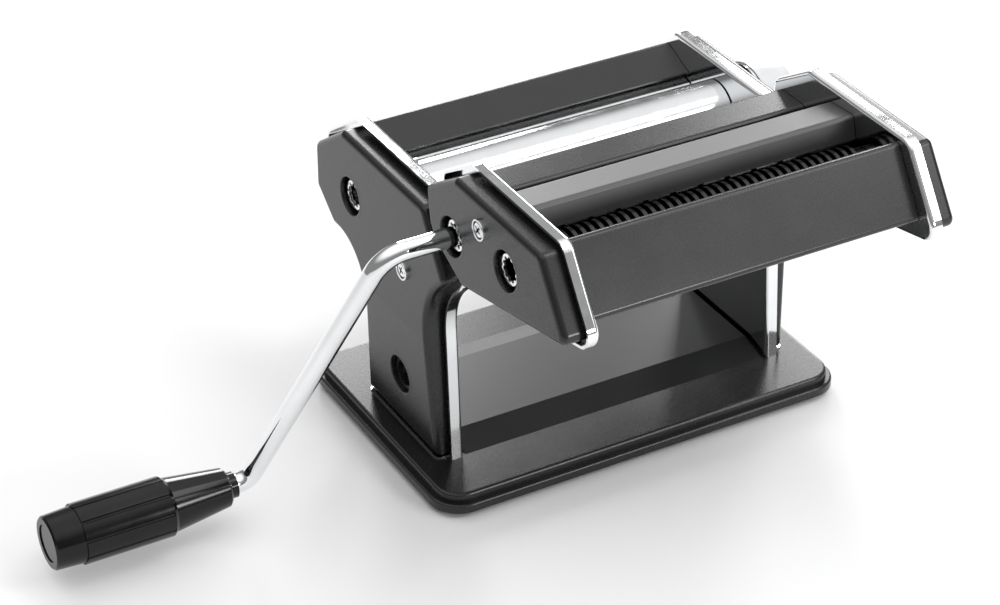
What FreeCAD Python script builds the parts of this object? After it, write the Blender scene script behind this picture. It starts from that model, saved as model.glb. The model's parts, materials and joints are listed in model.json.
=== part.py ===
"""Hand-cranked roller machine with a lift-off double cutter head.

Millimetres, +Z up. The origin lies under the middle of the base, on the ground.
The crank is on the -X side, the setting knob on the +X side, the cutter head
towards -Y. The rollers, cutters and knob all turn about axes parallel to X.
"""
import FreeCAD
import Part
import Sketcher
import math
import os
import re
from FreeCAD import Placement, Rotation, Vector

doc = FreeCAD.newDocument("RollerMachine")

# Every driving dimension: name, value or formula, what it is.
SIZES = [
    # base
    ("base_side", 24, "base beyond the side plates' inner faces, along X"),
    ("base_length", "web_gap + 2 * base_side", "base along X"),
    ("base_width", 130.6, "base along Y"),
    ("base_corner", 14, "plan radius of the base's corners"),
    ("base_rise", 8, "top of the base above its lower rim"),
    ("base_wall", 1.2, "sheet of the base"),
    ("base_edge", 1.5, "rounding of the upper edge"),
    ("ledge_rise", 4, "height of the outer step"),
    ("ledge_width", 2.6, "width of the outer step"),
    ("ledge_edge", 1, "rounding of the step"),
    ("foot_height", 3, "rubber foot below the base's rim"),
    ("foot_radius", 6, "rubber foot"),
    ("foot_offset", 2.5, "foot outwards from the centre of the corner radius"),
    ("foot_edge", 1, "rounding of the foot"),
    ("bed_end", 1.5, "arched sheet's end off a side plate"),
    ("bed_length", "web_gap - 2 * bed_end", "arched sheet between the legs, along X"),
    ("bed_front", 37, "front edge of the arched sheet from the middle"),
    ("bed_rear", 39, "rear edge of the arched sheet from the middle"),
    ("bed_rise", 4, "height of the arch"),
    ("bed_shoulder", 14, "width of each sloping side of the arch"),
    ("bed_sheet", 1, "its thickness"),
    # side plates and covers
    ("web_gap", 155, "between the inner faces of the side plates"),
    ("plate_sheet", 1.2, "sheet of the side plates"),
    ("plate_reach", 5.8, "depth of the pan, from the inner face to the flange's edge"),
    ("plate_bend", 1.8, "outer bend radius of the pan"),
    ("cover_reach", 13.8, "side cover's face from the plate's inner face"),
    ("cover_gap", 3.8, "from the flange's edge to the cover's wall"),
    ("cover_slant_gap", 1.6, "the same along the slanted front"),
    ("cover_foot_gap", 1.6, "the same at the foot"),
    ("cover_wall", 1.4, "wall of the side covers"),
    ("cover_edge", 2.8, "rounding round the face"),
    ("cover_seat", 0.1, "between a cover's rim and the plate"),
    ("crease_height", 68.5, "level under which the cover's face leans in"),
    ("crease_lean", 2.3, "how far it leans in at the base"),
    ("front_foot_y", -38, "side plate outline"),
    ("front_waist_y", -33, "side plate outline"),
    ("waist_drop", 16.5, "front waist under the nose"),
    ("front_waist_z", "nose_z - waist_drop", "side plate outline"),
    ("front_waist_round", 30, "side plate outline"),
    ("nose_y", -50, "side plate outline"),
    ("nose_z", 104.5, "side plate outline"),
    ("nose_round", 4, "side plate outline"),
    ("brow_y", -28.5, "side plate outline"),
    ("slant_rise", 33.3, "plates' top above the nose"),
    ("top_z", "nose_z + slant_rise", "side plate outline"),
    ("top_round", 7, "side plate outline"),
    ("rear_top_y", 45.5, "side plate outline"),
    ("shoulder_y", 74, "side plate outline"),
    ("shoulder_drop", 19.6, "rear shoulder under the plates' top"),
    ("shoulder_z", "top_z - shoulder_drop", "side plate outline"),
    ("shoulder_height", 24.7, "upright edge of the rear shoulder"),
    ("shoulder_low_z", "shoulder_z - shoulder_height", "side plate outline"),
    ("shoulder_round", 8, "side plate outline"),
    ("belly_y", 56, "side plate outline"),
    ("belly_drop", 14.2, "belly under the rear shoulder"),
    ("belly_z", "shoulder_low_z - belly_drop", "side plate outline"),
    ("belly_round", 6, "side plate outline"),
    ("rear_waist_y", 29.5, "side plate outline"),
    ("rear_waist_round", 20, "side plate outline"),
    ("rear_foot_y", 32.5, "side plate outline"),
    # roller unit
    ("roller_y", 37.1, "axis of the driven roller"),
    ("roller_rise", 1.2, "axis of the driven roller above the nose"),
    ("roller_z", "nose_z + roller_rise", "axis of the driven roller"),
    ("roller_radius", 14, "both rollers"),
    ("nip_gap", 1.04, "between the rollers at the stored setting"),
    ("nip_tilt", 20, "rise of the line of centres towards the front"),
    ("roller_bore", 10.6, "hollow of the movable roller"),
    ("roller_play", 0.5, "between a roller unit's end and the plate"),
    ("journal", 7, "driven roller's journal on the crank side"),
    ("far_journal", 5, "driven roller's journal on the knob side"),
    ("run_fit", 0.06, "radial clearance of shafts"),
    ("bush_wall", 2, "wall of the bushes"),
    ("bush_flange", 1.2, "flange of the bushes, thickness"),
    ("socket_recess", 3, "crank socket's mouth behind the cover's face"),
    ("socket_depth", 11, "crank socket's bore"),
    ("socket_hole", 10.3, "hole in a side cover round a socket"),
    ("socket_grooves", 10, "grooves round a crank socket's bore"),
    ("groove_width", 1.6, "groove of a crank socket"),
    ("groove_reach", 5.3, "floor of a groove from the axis"),
    ("groove_depth", 6, "length of a groove"),
    ("gear_teeth", 12, "teeth of the roller gears"),
    ("gear_width", 5, "roller gears along X"),
    ("gear_tip", 1.9, "tooth tip above the pitch circle"),
    ("gear_root", 3.2, "tooth root below the pitch circle"),
    ("tooth_share", 0.34, "tooth width at the pitch circle as a share of the pitch"),
    ("tooth_slope", 0.36, "slope of each flank"),
    ("gear_seat", 9.4, "neck that carries a roller gear"),
    ("throw", 1.2, "eccentricity of the setting shaft"),
    ("setting_journal", 4, "setting shaft in the side plates"),
    ("eccentric_radius", 5.8, "eccentric part of the setting shaft"),
    ("eccentric_width", 16, "length of each eccentric part"),
    ("bearing_wall", 1.8, "plastic bearings on the eccentric parts"),
    ("scraper_gap", 0.35, "scraper's blade off its roller"),
    ("scraper_sheet", 1.2, "scraper's blade"),
    ("scraper_reach", 20, "scraper's bar from the roller's axis"),
    ("scraper_bar", 2.4, "half the scraper's bar"),
    ("guide_sheet", 1.2, "sheet of the guide plates"),
    ("guide_bend", 1.4, "inner bend of the guide plates"),
    ("rear_guide_in", 3.6, "rear guide's lower edge before the driven roller's axis"),
    ("rear_guide_low_y", "roller_y - rear_guide_in", "rear guide plate, edge next to the rollers"),
    ("rear_guide_low", 14.3, "the same under the plates' top"),
    ("rear_guide_low_z", "top_z - rear_guide_low", "rear guide plate"),
    ("rear_guide_run", 15.5, "rear guide's upper edge behind the driven roller's axis"),
    ("rear_guide_top_y", "roller_y + rear_guide_run", "rear guide plate, upper edge"),
    ("rear_guide_drop", 6.8, "the same under the plates' top"),
    ("rear_guide_top_z", "top_z - rear_guide_drop", "rear guide plate"),
    ("rear_guide_lip", 6, "drop of its rear lip"),
    ("front_guide_in", 44.6, "front guide's lower edge before the driven roller's axis"),
    ("front_guide_low_y", "roller_y - front_guide_in", "front guide plate, edge next to the rollers"),
    ("front_guide_low", 13.3, "the same under the plates' top"),
    ("front_guide_low_z", "top_z - front_guide_low", "front guide plate"),
    ("front_guide_out", 5.5, "front guide's upper edge behind the plates' brow"),
    ("front_guide_top_y", "brow_y + front_guide_out", "front guide plate, upper edge"),
    ("front_guide_drop", 6.3, "the same under the plates' top"),
    ("front_guide_top_z", "top_z - front_guide_drop", "front guide plate"),
    ("front_guide_lip", 5, "drop of its front lip"),
    ("side_play", 0.2, "between a cross piece's end and the plate"),
    ("tie_radius", 2.5, "tie rods"),
    ("tie_stud", 1.8, "threaded ends of the tie rods"),
    ("tie_stud_length", 5, "threaded end past the plate's inner face"),
    ("stud_play", 0.15, "radial play of studs and screws in their holes"),
    ("nut_radius", 3.8, "nuts across corners, half"),
    ("nut_height", 2.6, "nuts"),
    ("tie_front_in", 14, "front tie rod behind the nose"),
    ("tie_front_y", "nose_y + tie_front_in", "front tie rod"),
    ("tie_front_rise", 2.5, "the same above the nose"),
    ("tie_front_z", "nose_z + tie_front_rise", "front tie rod"),
    ("tie_low_in", 17.1, "lower tie rod before the driven roller's axis"),
    ("tie_low_y", "roller_y - tie_low_in", "lower tie rod"),
    ("tie_low_drop", 19.2, "the same under it"),
    ("tie_low_z", "roller_z - tie_low_drop", "lower tie rod"),
    ("tie_rear_in", 12, "rear tie rod before the rear shoulder"),
    ("tie_rear_y", "shoulder_y - tie_rear_in", "rear tie rod"),
    ("tie_rear_drop", 17.2, "the same under the shoulder's top"),
    ("tie_rear_z", "shoulder_z - tie_rear_drop", "rear tie rod"),
    ("screw_head", 4.6, "cover screw's head"),
    ("screw_rise", 1.4, "cover screw's head height"),
    ("screw_shank", 2, "cover screw's shank"),
    ("screw_y", -11.7, "cover screw"),
    ("screw_drop", 9.3, "cover screw under the nose"),
    ("screw_z", "nose_z - screw_drop", "cover screw"),
    ("clamp_y", -3.8, "clamp socket in the leg"),
    ("clamp_z", 37.5, "clamp socket in the leg"),
    ("clamp_hole", 10.4, "hole in the cover round the clamp socket"),
    ("clamp_bore", 6, "bore of the clamp socket"),
    ("clamp_wall", 2, "wall of the clamp socket"),
    # setting knob
    ("knob_rim", 19.5, "knob's rim next to the cover"),
    ("knob_end", 16.5, "knob's outer end"),
    ("knob_length", 18, "knob along X"),
    ("knob_wall", 2, "knob's wall"),
    ("knob_play", 0.5, "knob off the detent plate"),
    ("knob_hub", 9, "knob's inner hub"),
    ("knob_hub_wall", 5, "thickness of the hub's floor"),
    ("knob_pull_travel", 4, "travel of the knob when pulled"),
    ("knob_pin_radius", 1, "pin behind the knob"),
    ("detent_radius", 19, "detent plate"),
    ("detent_sheet", 1, "detent plate"),
    ("detent_circle", 15, "circle of its holes"),
    ("detent_hole", 1.2, "its holes"),
    ("detent_count", 9, "its holes"),
    ("detent_step", 12.5, "degrees from hole to hole"),
    ("detent_first", -40, "degrees from the stored setting to the first hole"),
    ("spring_wire", 0.7, "knob spring, thickness of a disc"),
    ("spring_discs", 3, "knob spring, pairs of discs"),
    ("spring_bore", 4.4, "knob spring, inner radius"),
    ("spring_radius", 6.4, "knob spring, outer radius"),
    ("spring_gap", 0.1, "knob spring, play at its ends"),
    ("washer_radius", 6.6, "head of the screw that keeps the spring"),
    ("washer_height", 1.6, "its height"),
    # cutter head
    ("cutter_top_rise", 24.2, "cutter plates' top above the narrow drive cutter's axis"),
    ("cutter_top_z", "narrow_z + cutter_top_rise", "cutter plate outline"),
    ("cutter_rear_top", 1.8, "rear end of the top before the wide drive cutter's axis"),
    ("cutter_rear_top_y", "wide_y - cutter_rear_top", "cutter plate outline"),
    ("cutter_front_top", 27.7, "front end of the top before the narrow drive cutter's axis"),
    ("cutter_front_top_y", "narrow_y - cutter_front_top", "cutter plate outline"),
    ("cutter_nose_out", 52.8, "cutter plates' nose before the same axis"),
    ("cutter_nose_y", "narrow_y - cutter_nose_out", "cutter plate outline"),
    ("cutter_nose_drop", 12.2, "nose under the same axis"),
    ("cutter_nose_z", "narrow_z - cutter_nose_drop", "cutter plate outline"),
    ("cutter_keel_out", 7.3, "keel before the wide drive cutter's axis"),
    ("cutter_keel_y", "wide_y - cutter_keel_out", "cutter plate outline"),
    ("cutter_keel_drop", 23.4, "keel under the same axis"),
    ("cutter_keel_z", "wide_z - cutter_keel_drop", "cutter plate outline"),
    ("head_gap", 1.1, "cutter plates off the side plates' slanted edge"),
    ("cutter_heel_y", "nose_y + (cutter_heel_z - nose_z) / slant_rise * (brow_y - nose_y) - head_gap", "cutter plate outline"),
    ("cutter_heel_drop", 13.4, "heel under the wide drive cutter's axis"),
    ("cutter_heel_z", "wide_z - cutter_heel_drop", "cutter plate outline"),
    ("cutter_back_y", "nose_y + (cutter_back_z - nose_z) / slant_rise * (brow_y - nose_y) - head_gap", "cutter plate outline"),
    ("cutter_back_drop", 2.9, "back corner under the same axis"),
    ("cutter_back_z", "wide_z - cutter_back_drop", "cutter plate outline"),
    ("cutter_rear_in", 2.9, "rear corner before the side plates' brow"),
    ("cutter_rear_y", "brow_y - cutter_rear_in", "cutter plate outline"),
    ("cutter_rear_rise", 16.1, "rear corner above the wide drive cutter's axis"),
    ("cutter_rear_z", "wide_z + cutter_rear_rise", "cutter plate outline"),
    ("cutter_round", 7, "cutter plate outline, large corners"),
    ("cutter_small_round", 5, "cutter plate outline, small corners"),
    ("cutter_reach", 5.4, "depth of the cutter's pans"),
    ("cutter_cover_reach", 14.3, "cutter covers' face from the plate's inner face"),
    ("cutter_cover_gap", 3.5, "from the cutter plate's edge to its cover"),
    ("cutter_back_gap", 1.4, "the same along the back"),
    ("head_reach", 4.7, "wide drive cutter's axis before the side plates' nose"),
    ("wide_y", "nose_y - head_reach", "axis of the wide drive cutter"),
    ("head_rise", 29.4, "the same above the nose"),
    ("wide_z", "nose_z + head_rise", "axis of the wide drive cutter"),
    ("pair_reach", 43.8, "narrow pair before the wide pair"),
    ("narrow_y", "wide_y - pair_reach", "axis of the narrow drive cutter"),
    ("pair_rise", 7.5, "narrow pair above the wide pair"),
    ("narrow_z", "wide_z + pair_rise", "axis of the narrow drive cutter"),
    ("cutter_centres", 19.4, "between the axes of a pair"),
    ("cutter_tilt", 10.5, "rise of each pair's line of centres to the front"),
    ("ring_radius", 10, "cutting rings"),
    ("core_radius", 7.6, "cutter between its rings"),
    ("ring_play", 0.3, "between the rings of a pair, along X"),
    ("wide_count", 12, "rings of the wide drive cutter"),
    ("wide_margin", 2.9, "outer wide rings inside the side plates"),
    ("wide_pitch", "(web_gap - 2 * wide_margin + ring_play) / (wide_count - 0.5)", "wide rings"),
    ("wide_ring", "wide_pitch / 2 - ring_play", "width of a wide ring"),
    ("narrow_count", 36, "rings of the narrow drive cutter"),
    ("narrow_margin", 6.65, "outer narrow rings inside the side plates"),
    ("narrow_pitch", "(web_gap - 2 * narrow_margin + ring_play) / (narrow_count - 0.5)",
     "narrow rings"),
    ("narrow_ring", "narrow_pitch / 2 - ring_play", "width of a narrow ring"),
    ("cutter_gear_teeth", 12, "teeth of the cutter gears"),
    ("cutter_gear_width", 5, "cutter gears along X"),
    ("cutter_gear_tip", 1.2, "tooth tip above the pitch circle"),
    ("cutter_gear_root", 1.8, "tooth root below the pitch circle"),
    ("comb_play", 0.5, "comb tooth off a cutter's core"),
    ("comb_side_play", 0.5, "comb tooth off a ring's side"),
    ("comb_bar", 2, "half the comb's bar"),
    ("comb_off", 1.2, "comb's bar off the rings"),
    ("comb_tooth", 2, "half the comb's tooth height"),
    ("top_sheet", 1, "sheet of the cutter head's covers"),
    ("top_bend", 1, "their inner bends"),
    ("tray_rear_in", 17.3, "rear cover's rear edge behind the wide drive cutter's axis"),
    ("tray_rear_y", "wide_y + tray_rear_in", "rear cover, rear edge"),
    ("tray_rise", 14.6, "rear cover above the same axis"),
    ("tray_z", "wide_z + tray_rise", "rear cover, upper face"),
    ("tray_front_out", 1.3, "rear cover's front edge before the same axis"),
    ("tray_front_y", "wide_y - tray_front_out", "rear cover, edge at the slot"),
    ("tray_lip", 4, "rear cover's lips"),
    ("ridge_rear_in", 25.9, "ridge's rear edge behind the narrow drive cutter's axis"),
    ("ridge_rear_y", "narrow_y + ridge_rear_in", "ridge cover"),
    ("ridge_rear_rise", 17.5, "the same above it"),
    ("ridge_rear_z", "narrow_z + ridge_rear_rise", "ridge cover"),
    ("ridge_crest_in", 8.9, "ridge's crest behind the same axis"),
    ("ridge_crest_y", "narrow_y + ridge_crest_in", "ridge cover"),
    ("ridge_crest_rise", 19, "the same above it"),
    ("ridge_crest_z", "narrow_z + ridge_crest_rise", "ridge cover"),
    ("ridge_low_in", 6.2, "ridge's lower edge behind the same axis"),
    ("ridge_low_y", "narrow_y + ridge_low_in", "ridge cover"),
    ("ridge_low_rise", 9.2, "the same above it"),
    ("ridge_low_z", "narrow_z + ridge_low_rise", "ridge cover"),
    ("ridge_drop", 8.5, "ridge cover's rear wall"),
    ("apron_top_out", 22.2, "front cover's upper edge before the narrow drive cutter's axis"),
    ("apron_top_y", "narrow_y - apron_top_out", "front cover, upper edge"),
    ("apron_top_rise", 21.2, "the same above it"),
    ("apron_top_z", "narrow_z + apron_top_rise", "front cover, upper edge"),
    ("apron_low_out", 40, "front cover's lower edge before the same axis"),
    ("apron_low_y", "narrow_y - apron_low_out", "front cover, lower edge"),
    ("apron_low_drop", 6.1, "the same under it"),
    ("apron_low_z", "narrow_z - apron_low_drop", "front cover, lower edge"),
    ("apron_back", 3, "front cover's turned top"),
    ("apron_lip", 4, "front cover's lips"),
    ("cutter_screw_out", 24.3, "cover screw before the wide drive cutter's axis"),
    ("cutter_screw_y", "wide_y - cutter_screw_out", "cutter cover's screw"),
    ("cutter_screw_rise", 16.1, "the same above it"),
    ("cutter_screw_z", "wide_z + cutter_screw_rise", "cutter cover's screw"),
    ("cutter_tie_rear_in", 13.2, "rear tie rod behind the wide drive cutter's axis"),
    ("cutter_tie_rear_y", "wide_y + cutter_tie_rear_in", "cutter tie rod"),
    ("cutter_tie_rear_rise", 9.1, "the same above it"),
    ("cutter_tie_rear_z", "wide_z + cutter_tie_rear_rise", "cutter tie rod"),
    ("cutter_tie_low_out", 14.7, "lower tie rod before the wide driven cutter's axis"),
    ("cutter_tie_low_drop", 12.3, "the same under it"),
    ("cutter_tie_front_out", 32.5, "front tie rod before the same axis"),
    ("cutter_tie_front_y", "narrow_y - cutter_tie_front_out", "cutter tie rod"),
    ("cutter_tie_front_drop", 2.9, "the same under it"),
    ("cutter_tie_front_z", "narrow_z - cutter_tie_front_drop", "cutter tie rod"),
    # rails that carry the cutter head, along the side plates' slanted front
    ("rail_thick", 1.6, "rail along X"),
    ("rail_start", 8, "rail's lower end, up the slant from the nose"),
    ("rail_length", 20, "rail along the slant"),
    ("rail_back", 6, "rail behind the slant"),
    ("rail_front", 5, "rail in front of the slant"),
    ("hook_play", 0.3, "between hook and rail"),
    ("hook_wall", 1.4, "hook's walls"),
    ("hook_clear", 1.6, "hook's lip in front of the slant"),
    # crank
    ("crank_rod_radius", 4.3, "crank's rod"),
    ("crank_play", 0.1, "rod in the socket, radial"),
    ("crank_tip_gap", 1, "rod's end off the socket's floor"),
    ("crank_key_radius", 0.7, "cross pin at the rod's drive end"),
    ("crank_bend_x", -122, "corner between the drive end and the arm"),
    ("crank_end_x", -170, "corner between the arm and the grip's pin"),
    ("crank_end_y", -18.4, "axis of the grip"),
    ("crank_end_z", 19.2, "axis of the grip"),
    ("crank_bend", 14, "bend radius at the drive end"),
    ("crank_end_bend", 8, "bend radius at the grip's pin"),
    ("grip_start", 10, "grip's narrow end from the arm's corner"),
    ("grip_length", 80, "grip"),
    ("grip_narrow", 8.5, "grip's narrow end"),
    ("grip_radius", 13, "grip's fluted barrel"),
    ("grip_end_radius", 11.6, "grip's smooth end"),
    ("grip_taper", 28, "length of the taper"),
    ("grip_end_length", 13, "length of the smooth end"),
    ("grip_flutes", 10, "grooves of the barrel"),
    ("grip_flute", 0.7, "radius of a groove"),
    ("grip_play", 0.1, "grip on its pin, radial"),
    ("grip_cap_radius", 8, "cap in the grip's end"),
    ("grip_cap_depth", 3, "cap in the grip's end"),
    ("grip_cap_seat", 0.1, "cap in its recess, radial"),
    ("pin_head", 5.4, "riveted end of the grip's pin"),
    ("pin_head_height", 2, "riveted end of the grip's pin"),
    ("neck_radius", 5.6, "sleeve between arm and grip"),
    ("neck_length", 3.4, "sleeve between arm and grip"),
]
NAMES = {name for name, value, note in SIZES}

sheet = doc.addObject("Spreadsheet::Sheet", "Sizes")
for row, (name, value, note) in enumerate(SIZES, 1):
    sheet.set(f"A{row}", name)
    sheet.setAlias(f"B{row}", name)
    sheet.set(f"C{row}", note)
for row, (name, value, note) in enumerate(SIZES, 1):
    sheet.set(f"B{row}", f"={value}")
doc.recompute()

# Levels and planes that several pieces share.
BASE_TOP = "(foot_height + base_rise)"
WEB = "(web_gap / 2)"
WEB_OUT = f"({WEB} + plate_sheet)"
COVER_FACE = f"({WEB} + cover_reach)"
CUTTER_FACE = f"({WEB} + cutter_cover_reach)"
CENTRES = "(2 * roller_radius + nip_gap)"
MOVABLE_Y = f"(roller_y - {CENTRES} * cos(nip_tilt * 1 deg))"
MOVABLE_Z = f"(roller_z + {CENTRES} * sin(nip_tilt * 1 deg))"
SETTING_Y = f"({MOVABLE_Y} - throw * sin(nip_tilt * 1 deg))"
SETTING_Z = f"({MOVABLE_Z} - throw * cos(nip_tilt * 1 deg))"
BEARING_OUT = "(eccentric_radius + run_fit + bearing_wall)"
PAIR_Y = "cutter_centres * cos(cutter_tilt * 1 deg)"
PAIR_Z = "cutter_centres * sin(cutter_tilt * 1 deg)"
WIDE_DRIVEN = (f"(wide_y - {PAIR_Y})", f"(wide_z + {PAIR_Z})")
NARROW_DRIVEN = (f"(narrow_y - {PAIR_Y})", f"(narrow_z + {PAIR_Z})")

nodes = []


def full(text):
    """Put the sheet's name in front of each size in an expression."""
    return re.sub(r"[A-Za-z_]\w*", lambda m: "Sizes." + m[0] if m[0] in NAMES else m[0], text)


def size(text):
    """The number that an expression stands for."""
    value = sheet.evalExpression(full(text))
    return float(getattr(value, "Value", value))


def bind(target, prop, text):
    target.setExpression(prop, full(text))


def node(target):
    """Register an object as a sub-part, under its Label."""
    nodes.append(target)
    return target


def place(target, x="0", y="0", z="0", axis=None, angle=None):
    """Put an object at a bound position, turned about an axis."""
    turn = Rotation(axis, size(angle)) if axis else Rotation()
    target.Placement = Placement(Vector(size(x), size(y), size(z)), turn)
    for prop, text in (("x", x), ("y", y), ("z", z)):
        bind(target, "Placement.Base." + prop, text)
    if axis:
        bind(target, "Placement.Rotation.Angle", angle)
    return target


def new_body(label):
    body = doc.addObject("PartDesign::Body", label)
    body.Label = label
    return body


def origin(body, role):
    return next(f for f in body.Origin.OriginFeatures if f.Role == role)


def new_sketch(body, role, offset=None):
    """A sketch on an origin plane, moved along its normal."""
    sketch = body.newObject("Sketcher::SketchObject", body.Label + "_sketch")
    sketch.AttachmentSupport = [(origin(body, role), "")]
    sketch.MapMode = "FlatFace"
    if offset:
        bind(sketch, "AttachmentOffset.Base.z", offset)
    return sketch


def pin_point(sketch, geometry, point, across, up):
    """Tie a sketch point to bound coordinates."""
    for kind, text in (("DistanceX", across), ("DistanceY", up)):
        rule = Sketcher.Constraint(kind, -1, 1, geometry, point, size(text))
        bind(sketch, f"Constraints[{sketch.addConstraint(rule)}]", text)


def polygon(sketch, points):
    """A closed outline through bound corners."""
    spots = [Vector(size(a), size(b), 0) for a, b in points]
    first = sketch.GeometryCount
    count = len(points)
    for i in range(count):
        sketch.addGeometry(Part.LineSegment(spots[i], spots[(i + 1) % count]))
    for i in range(count):
        follow = first + (i + 1) % count
        sketch.addConstraint(Sketcher.Constraint("Coincident", first + i, 2, follow, 1))
    for i, (across, up) in enumerate(points):
        pin_point(sketch, first + i, 1, across, up)


def circle(sketch, across, up, radius):
    spot = Vector(size(across), size(up), 0)
    shape = sketch.addGeometry(Part.Circle(spot, Vector(0, 0, 1), size(radius)))
    pin_point(sketch, shape, 3, across, up)
    rule = Sketcher.Constraint("Radius", shape, size(radius))
    bind(sketch, f"Constraints[{sketch.addConstraint(rule)}]", radius)


def settle(feature):
    """Recompute, and stop at a feature that failed."""
    doc.recompute()
    if {"Invalid", "Error"} & set(feature.State) or feature.Shape.isNull():
        raise ValueError(f"{feature.Label}: {feature.getStatusString()}")
    return feature


def pad(body, sketch, length, backwards=False):
    feature = body.newObject("PartDesign::Pad", body.Label + "_pad")
    feature.Profile = sketch
    feature.Reversed = backwards
    bind(feature, "Length", length)
    return settle(feature)


def pocket(body, sketch, length, backwards=False):
    """Cut along the sketch's normal (backwards: against it) and check that it cut."""
    before = body.Shape.Volume
    feature = body.newObject("PartDesign::Pocket", body.Label + "_pocket")
    feature.Profile = sketch
    feature.Reversed = not backwards
    bind(feature, "Length", length)
    settle(feature)
    if not feature.Shape.Volume < before - 1e-6:
        raise ValueError(f"{feature.Label} cuts nothing")
    return feature


def fillet(body, names, radius):
    base = body.Tip
    feature = body.newObject("PartDesign::Fillet", body.Label + "_fillet")
    feature.Base = (base, names)
    bind(feature, "Radius", radius)
    return settle(feature)


def corners_along_x(shape, points):
    """Names of the edges parallel to X that stand on the given corners."""
    spots = [(size(a), size(b)) for a, b in points]
    names = []
    for number, edge in enumerate(shape.Edges, 1):
        if len(edge.Vertexes) != 2 or edge.Length < 0.2:
            continue
        start, end = (v.Point for v in edge.Vertexes)
        if abs(start.y - end.y) > 1e-4 or abs(start.z - end.z) > 1e-4:
            continue
        if any(math.hypot(start.y - y, start.z - z) < 1e-3 for y, z in spots):
            names.append(f"Edge{number}")
    return names


def round_corners(body, points, rounds):
    """Fillet the corners of an outline, each with its own radius."""
    for radius in sorted(set(filter(None, rounds))):
        here = [p for p, r in zip(points, rounds) if r == radius]
        fillet(body, corners_along_x(body.Shape, here), radius)


def shifted(points, gaps, closed=True):
    """Move an outline inwards (to its left), each edge by its own gap."""
    spots = [Vector(size(a), size(b), 0) for a, b in points]
    count = len(points)
    normals = []
    for i in range(count if closed else count - 1):
        along = spots[(i + 1) % count] - spots[i]
        along.normalize()
        normals.append(Vector(-along.y, along.x, 0))
    moved = []
    for i, (across, up) in enumerate(points):
        before = i - 1 if closed or i > 0 else 0
        after = i if closed or i < count - 1 else i - 1
        one, two = normals[before], normals[after]
        turn = one.x * two.y - one.y * two.x
        if abs(turn) < 1e-6:
            first, second = Vector(one), Vector()
        else:
            first = Vector(two.y, -two.x, 0) / turn
            second = Vector(-one.y, one.x, 0) / turn
        rule = "{0} + {1:.6f} * ({2}) + {3:.6f} * ({4})"
        gap = (gaps[before], gaps[after])
        moved.append((rule.format(across, first.x, gap[0], second.x, gap[1]),
                      rule.format(up, first.y, gap[0], second.y, gap[1])))
    return moved


def flat_face(shape, level, axis):
    """Name of the largest face in a plane square to an axis."""
    best = None
    for number, face in enumerate(shape.Faces, 1):
        box = face.BoundBox
        low, high = getattr(box, axis + "Min"), getattr(box, axis + "Max")
        if abs(low - level) < 1e-4 and abs(high - level) < 1e-4:
            if best is None or face.Area > best[0]:
                best = (face.Area, f"Face{number}")
    return best[1]


def hollow(body, level, wall, axis="X"):
    """Shell a body inwards, open at its face in a plane square to an axis."""
    base = body.Tip
    feature = body.newObject("PartDesign::Thickness", body.Label + "_shell")
    feature.Base = (base, [flat_face(base.Shape, level, axis)])
    feature.Reversed = True
    feature.Join = 1
    bind(feature, "Value", wall)
    return settle(feature)


def rim(shape, low, high, inside=None):
    """Names of the outer edges that lie between two planes x."""
    names = []
    for number, edge in enumerate(shape.Edges, 1):
        box = edge.BoundBox
        if box.XMin > low - 1e-3 and box.XMax < high + 1e-3:
            if inside is None or inside(edge):
                names.append(f"Edge{number}")
    return names


def turned(label, points, y="0", z="0", axis=None, angle=None):
    """A turned piece: (x, radius) corners revolved about its own X axis."""
    body = new_body(label)
    sketch = new_sketch(body, "XY_Plane")
    polygon(sketch, points)
    feature = body.newObject("PartDesign::Revolution", label + "_turn")
    feature.Profile = sketch
    feature.ReferenceAxis = (sketch, ["H_Axis"])
    feature.Angle = 360
    settle(feature)
    place(body, "0", y, z, axis, angle)
    return body


def tube(label, start, end, outer, inner, y, z):
    points = [(start, inner), (end, inner), (end, outer), (start, outer)]
    return turned(label, points, y, z)


def group(label, pieces):
    """Several separate solids under one name."""
    compound = doc.addObject("Part::Compound", label)
    compound.Links = pieces
    doc.recompute()
    return node(compound)


def cross_sheet(label, points, sheet_size, bend, trim="side_play"):
    """Bent sheet that spans the side plates: a strip of constant thickness."""
    count = len(points) - 1
    inner = shifted(points, [sheet_size] * count, closed=False)
    body = new_body(label)
    sketch = new_sketch(body, "YZ_Plane", f"{trim} - {WEB}")
    polygon(sketch, points + inner[::-1])
    pad(body, sketch, f"web_gap - 2 * {trim}")
    for i in range(1, count):
        a, b, c = (Vector(size(p[0]), size(p[1]), 0) for p in points[i - 1:i + 2])
        left = (b - a).cross(c - b).z > 0
        near, far = (inner[i], points[i]) if left else (points[i], inner[i])
        fillet(body, corners_along_x(body.Shape, [near]), bend)
        fillet(body, corners_along_x(body.Shape, [far]), f"{bend} + {sheet_size}")
    return node(body)


# ---------------------------------------------------------------- base
def rectangle(sketch, half_x, half_y):
    polygon(sketch, [(f"-({half_x})", f"-({half_y})"), (half_x, f"-({half_y})"),
                     (half_x, half_y), (f"-({half_x})", half_y)])


def upright_edges(shape, half_x, half_y):
    """Names of the four upright edges of a centred block."""
    names = []
    for number, edge in enumerate(shape.Edges, 1):
        if len(edge.Vertexes) != 2:
            continue
        start, end = (v.Point for v in edge.Vertexes)
        upright = abs(start.x - end.x) < 1e-4 and abs(start.y - end.y) < 1e-4
        corner = abs(abs(start.x) - half_x) < 1e-3 and abs(abs(start.y) - half_y) < 1e-3
        if upright and corner:
            names.append(f"Edge{number}")
    return names


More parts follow.
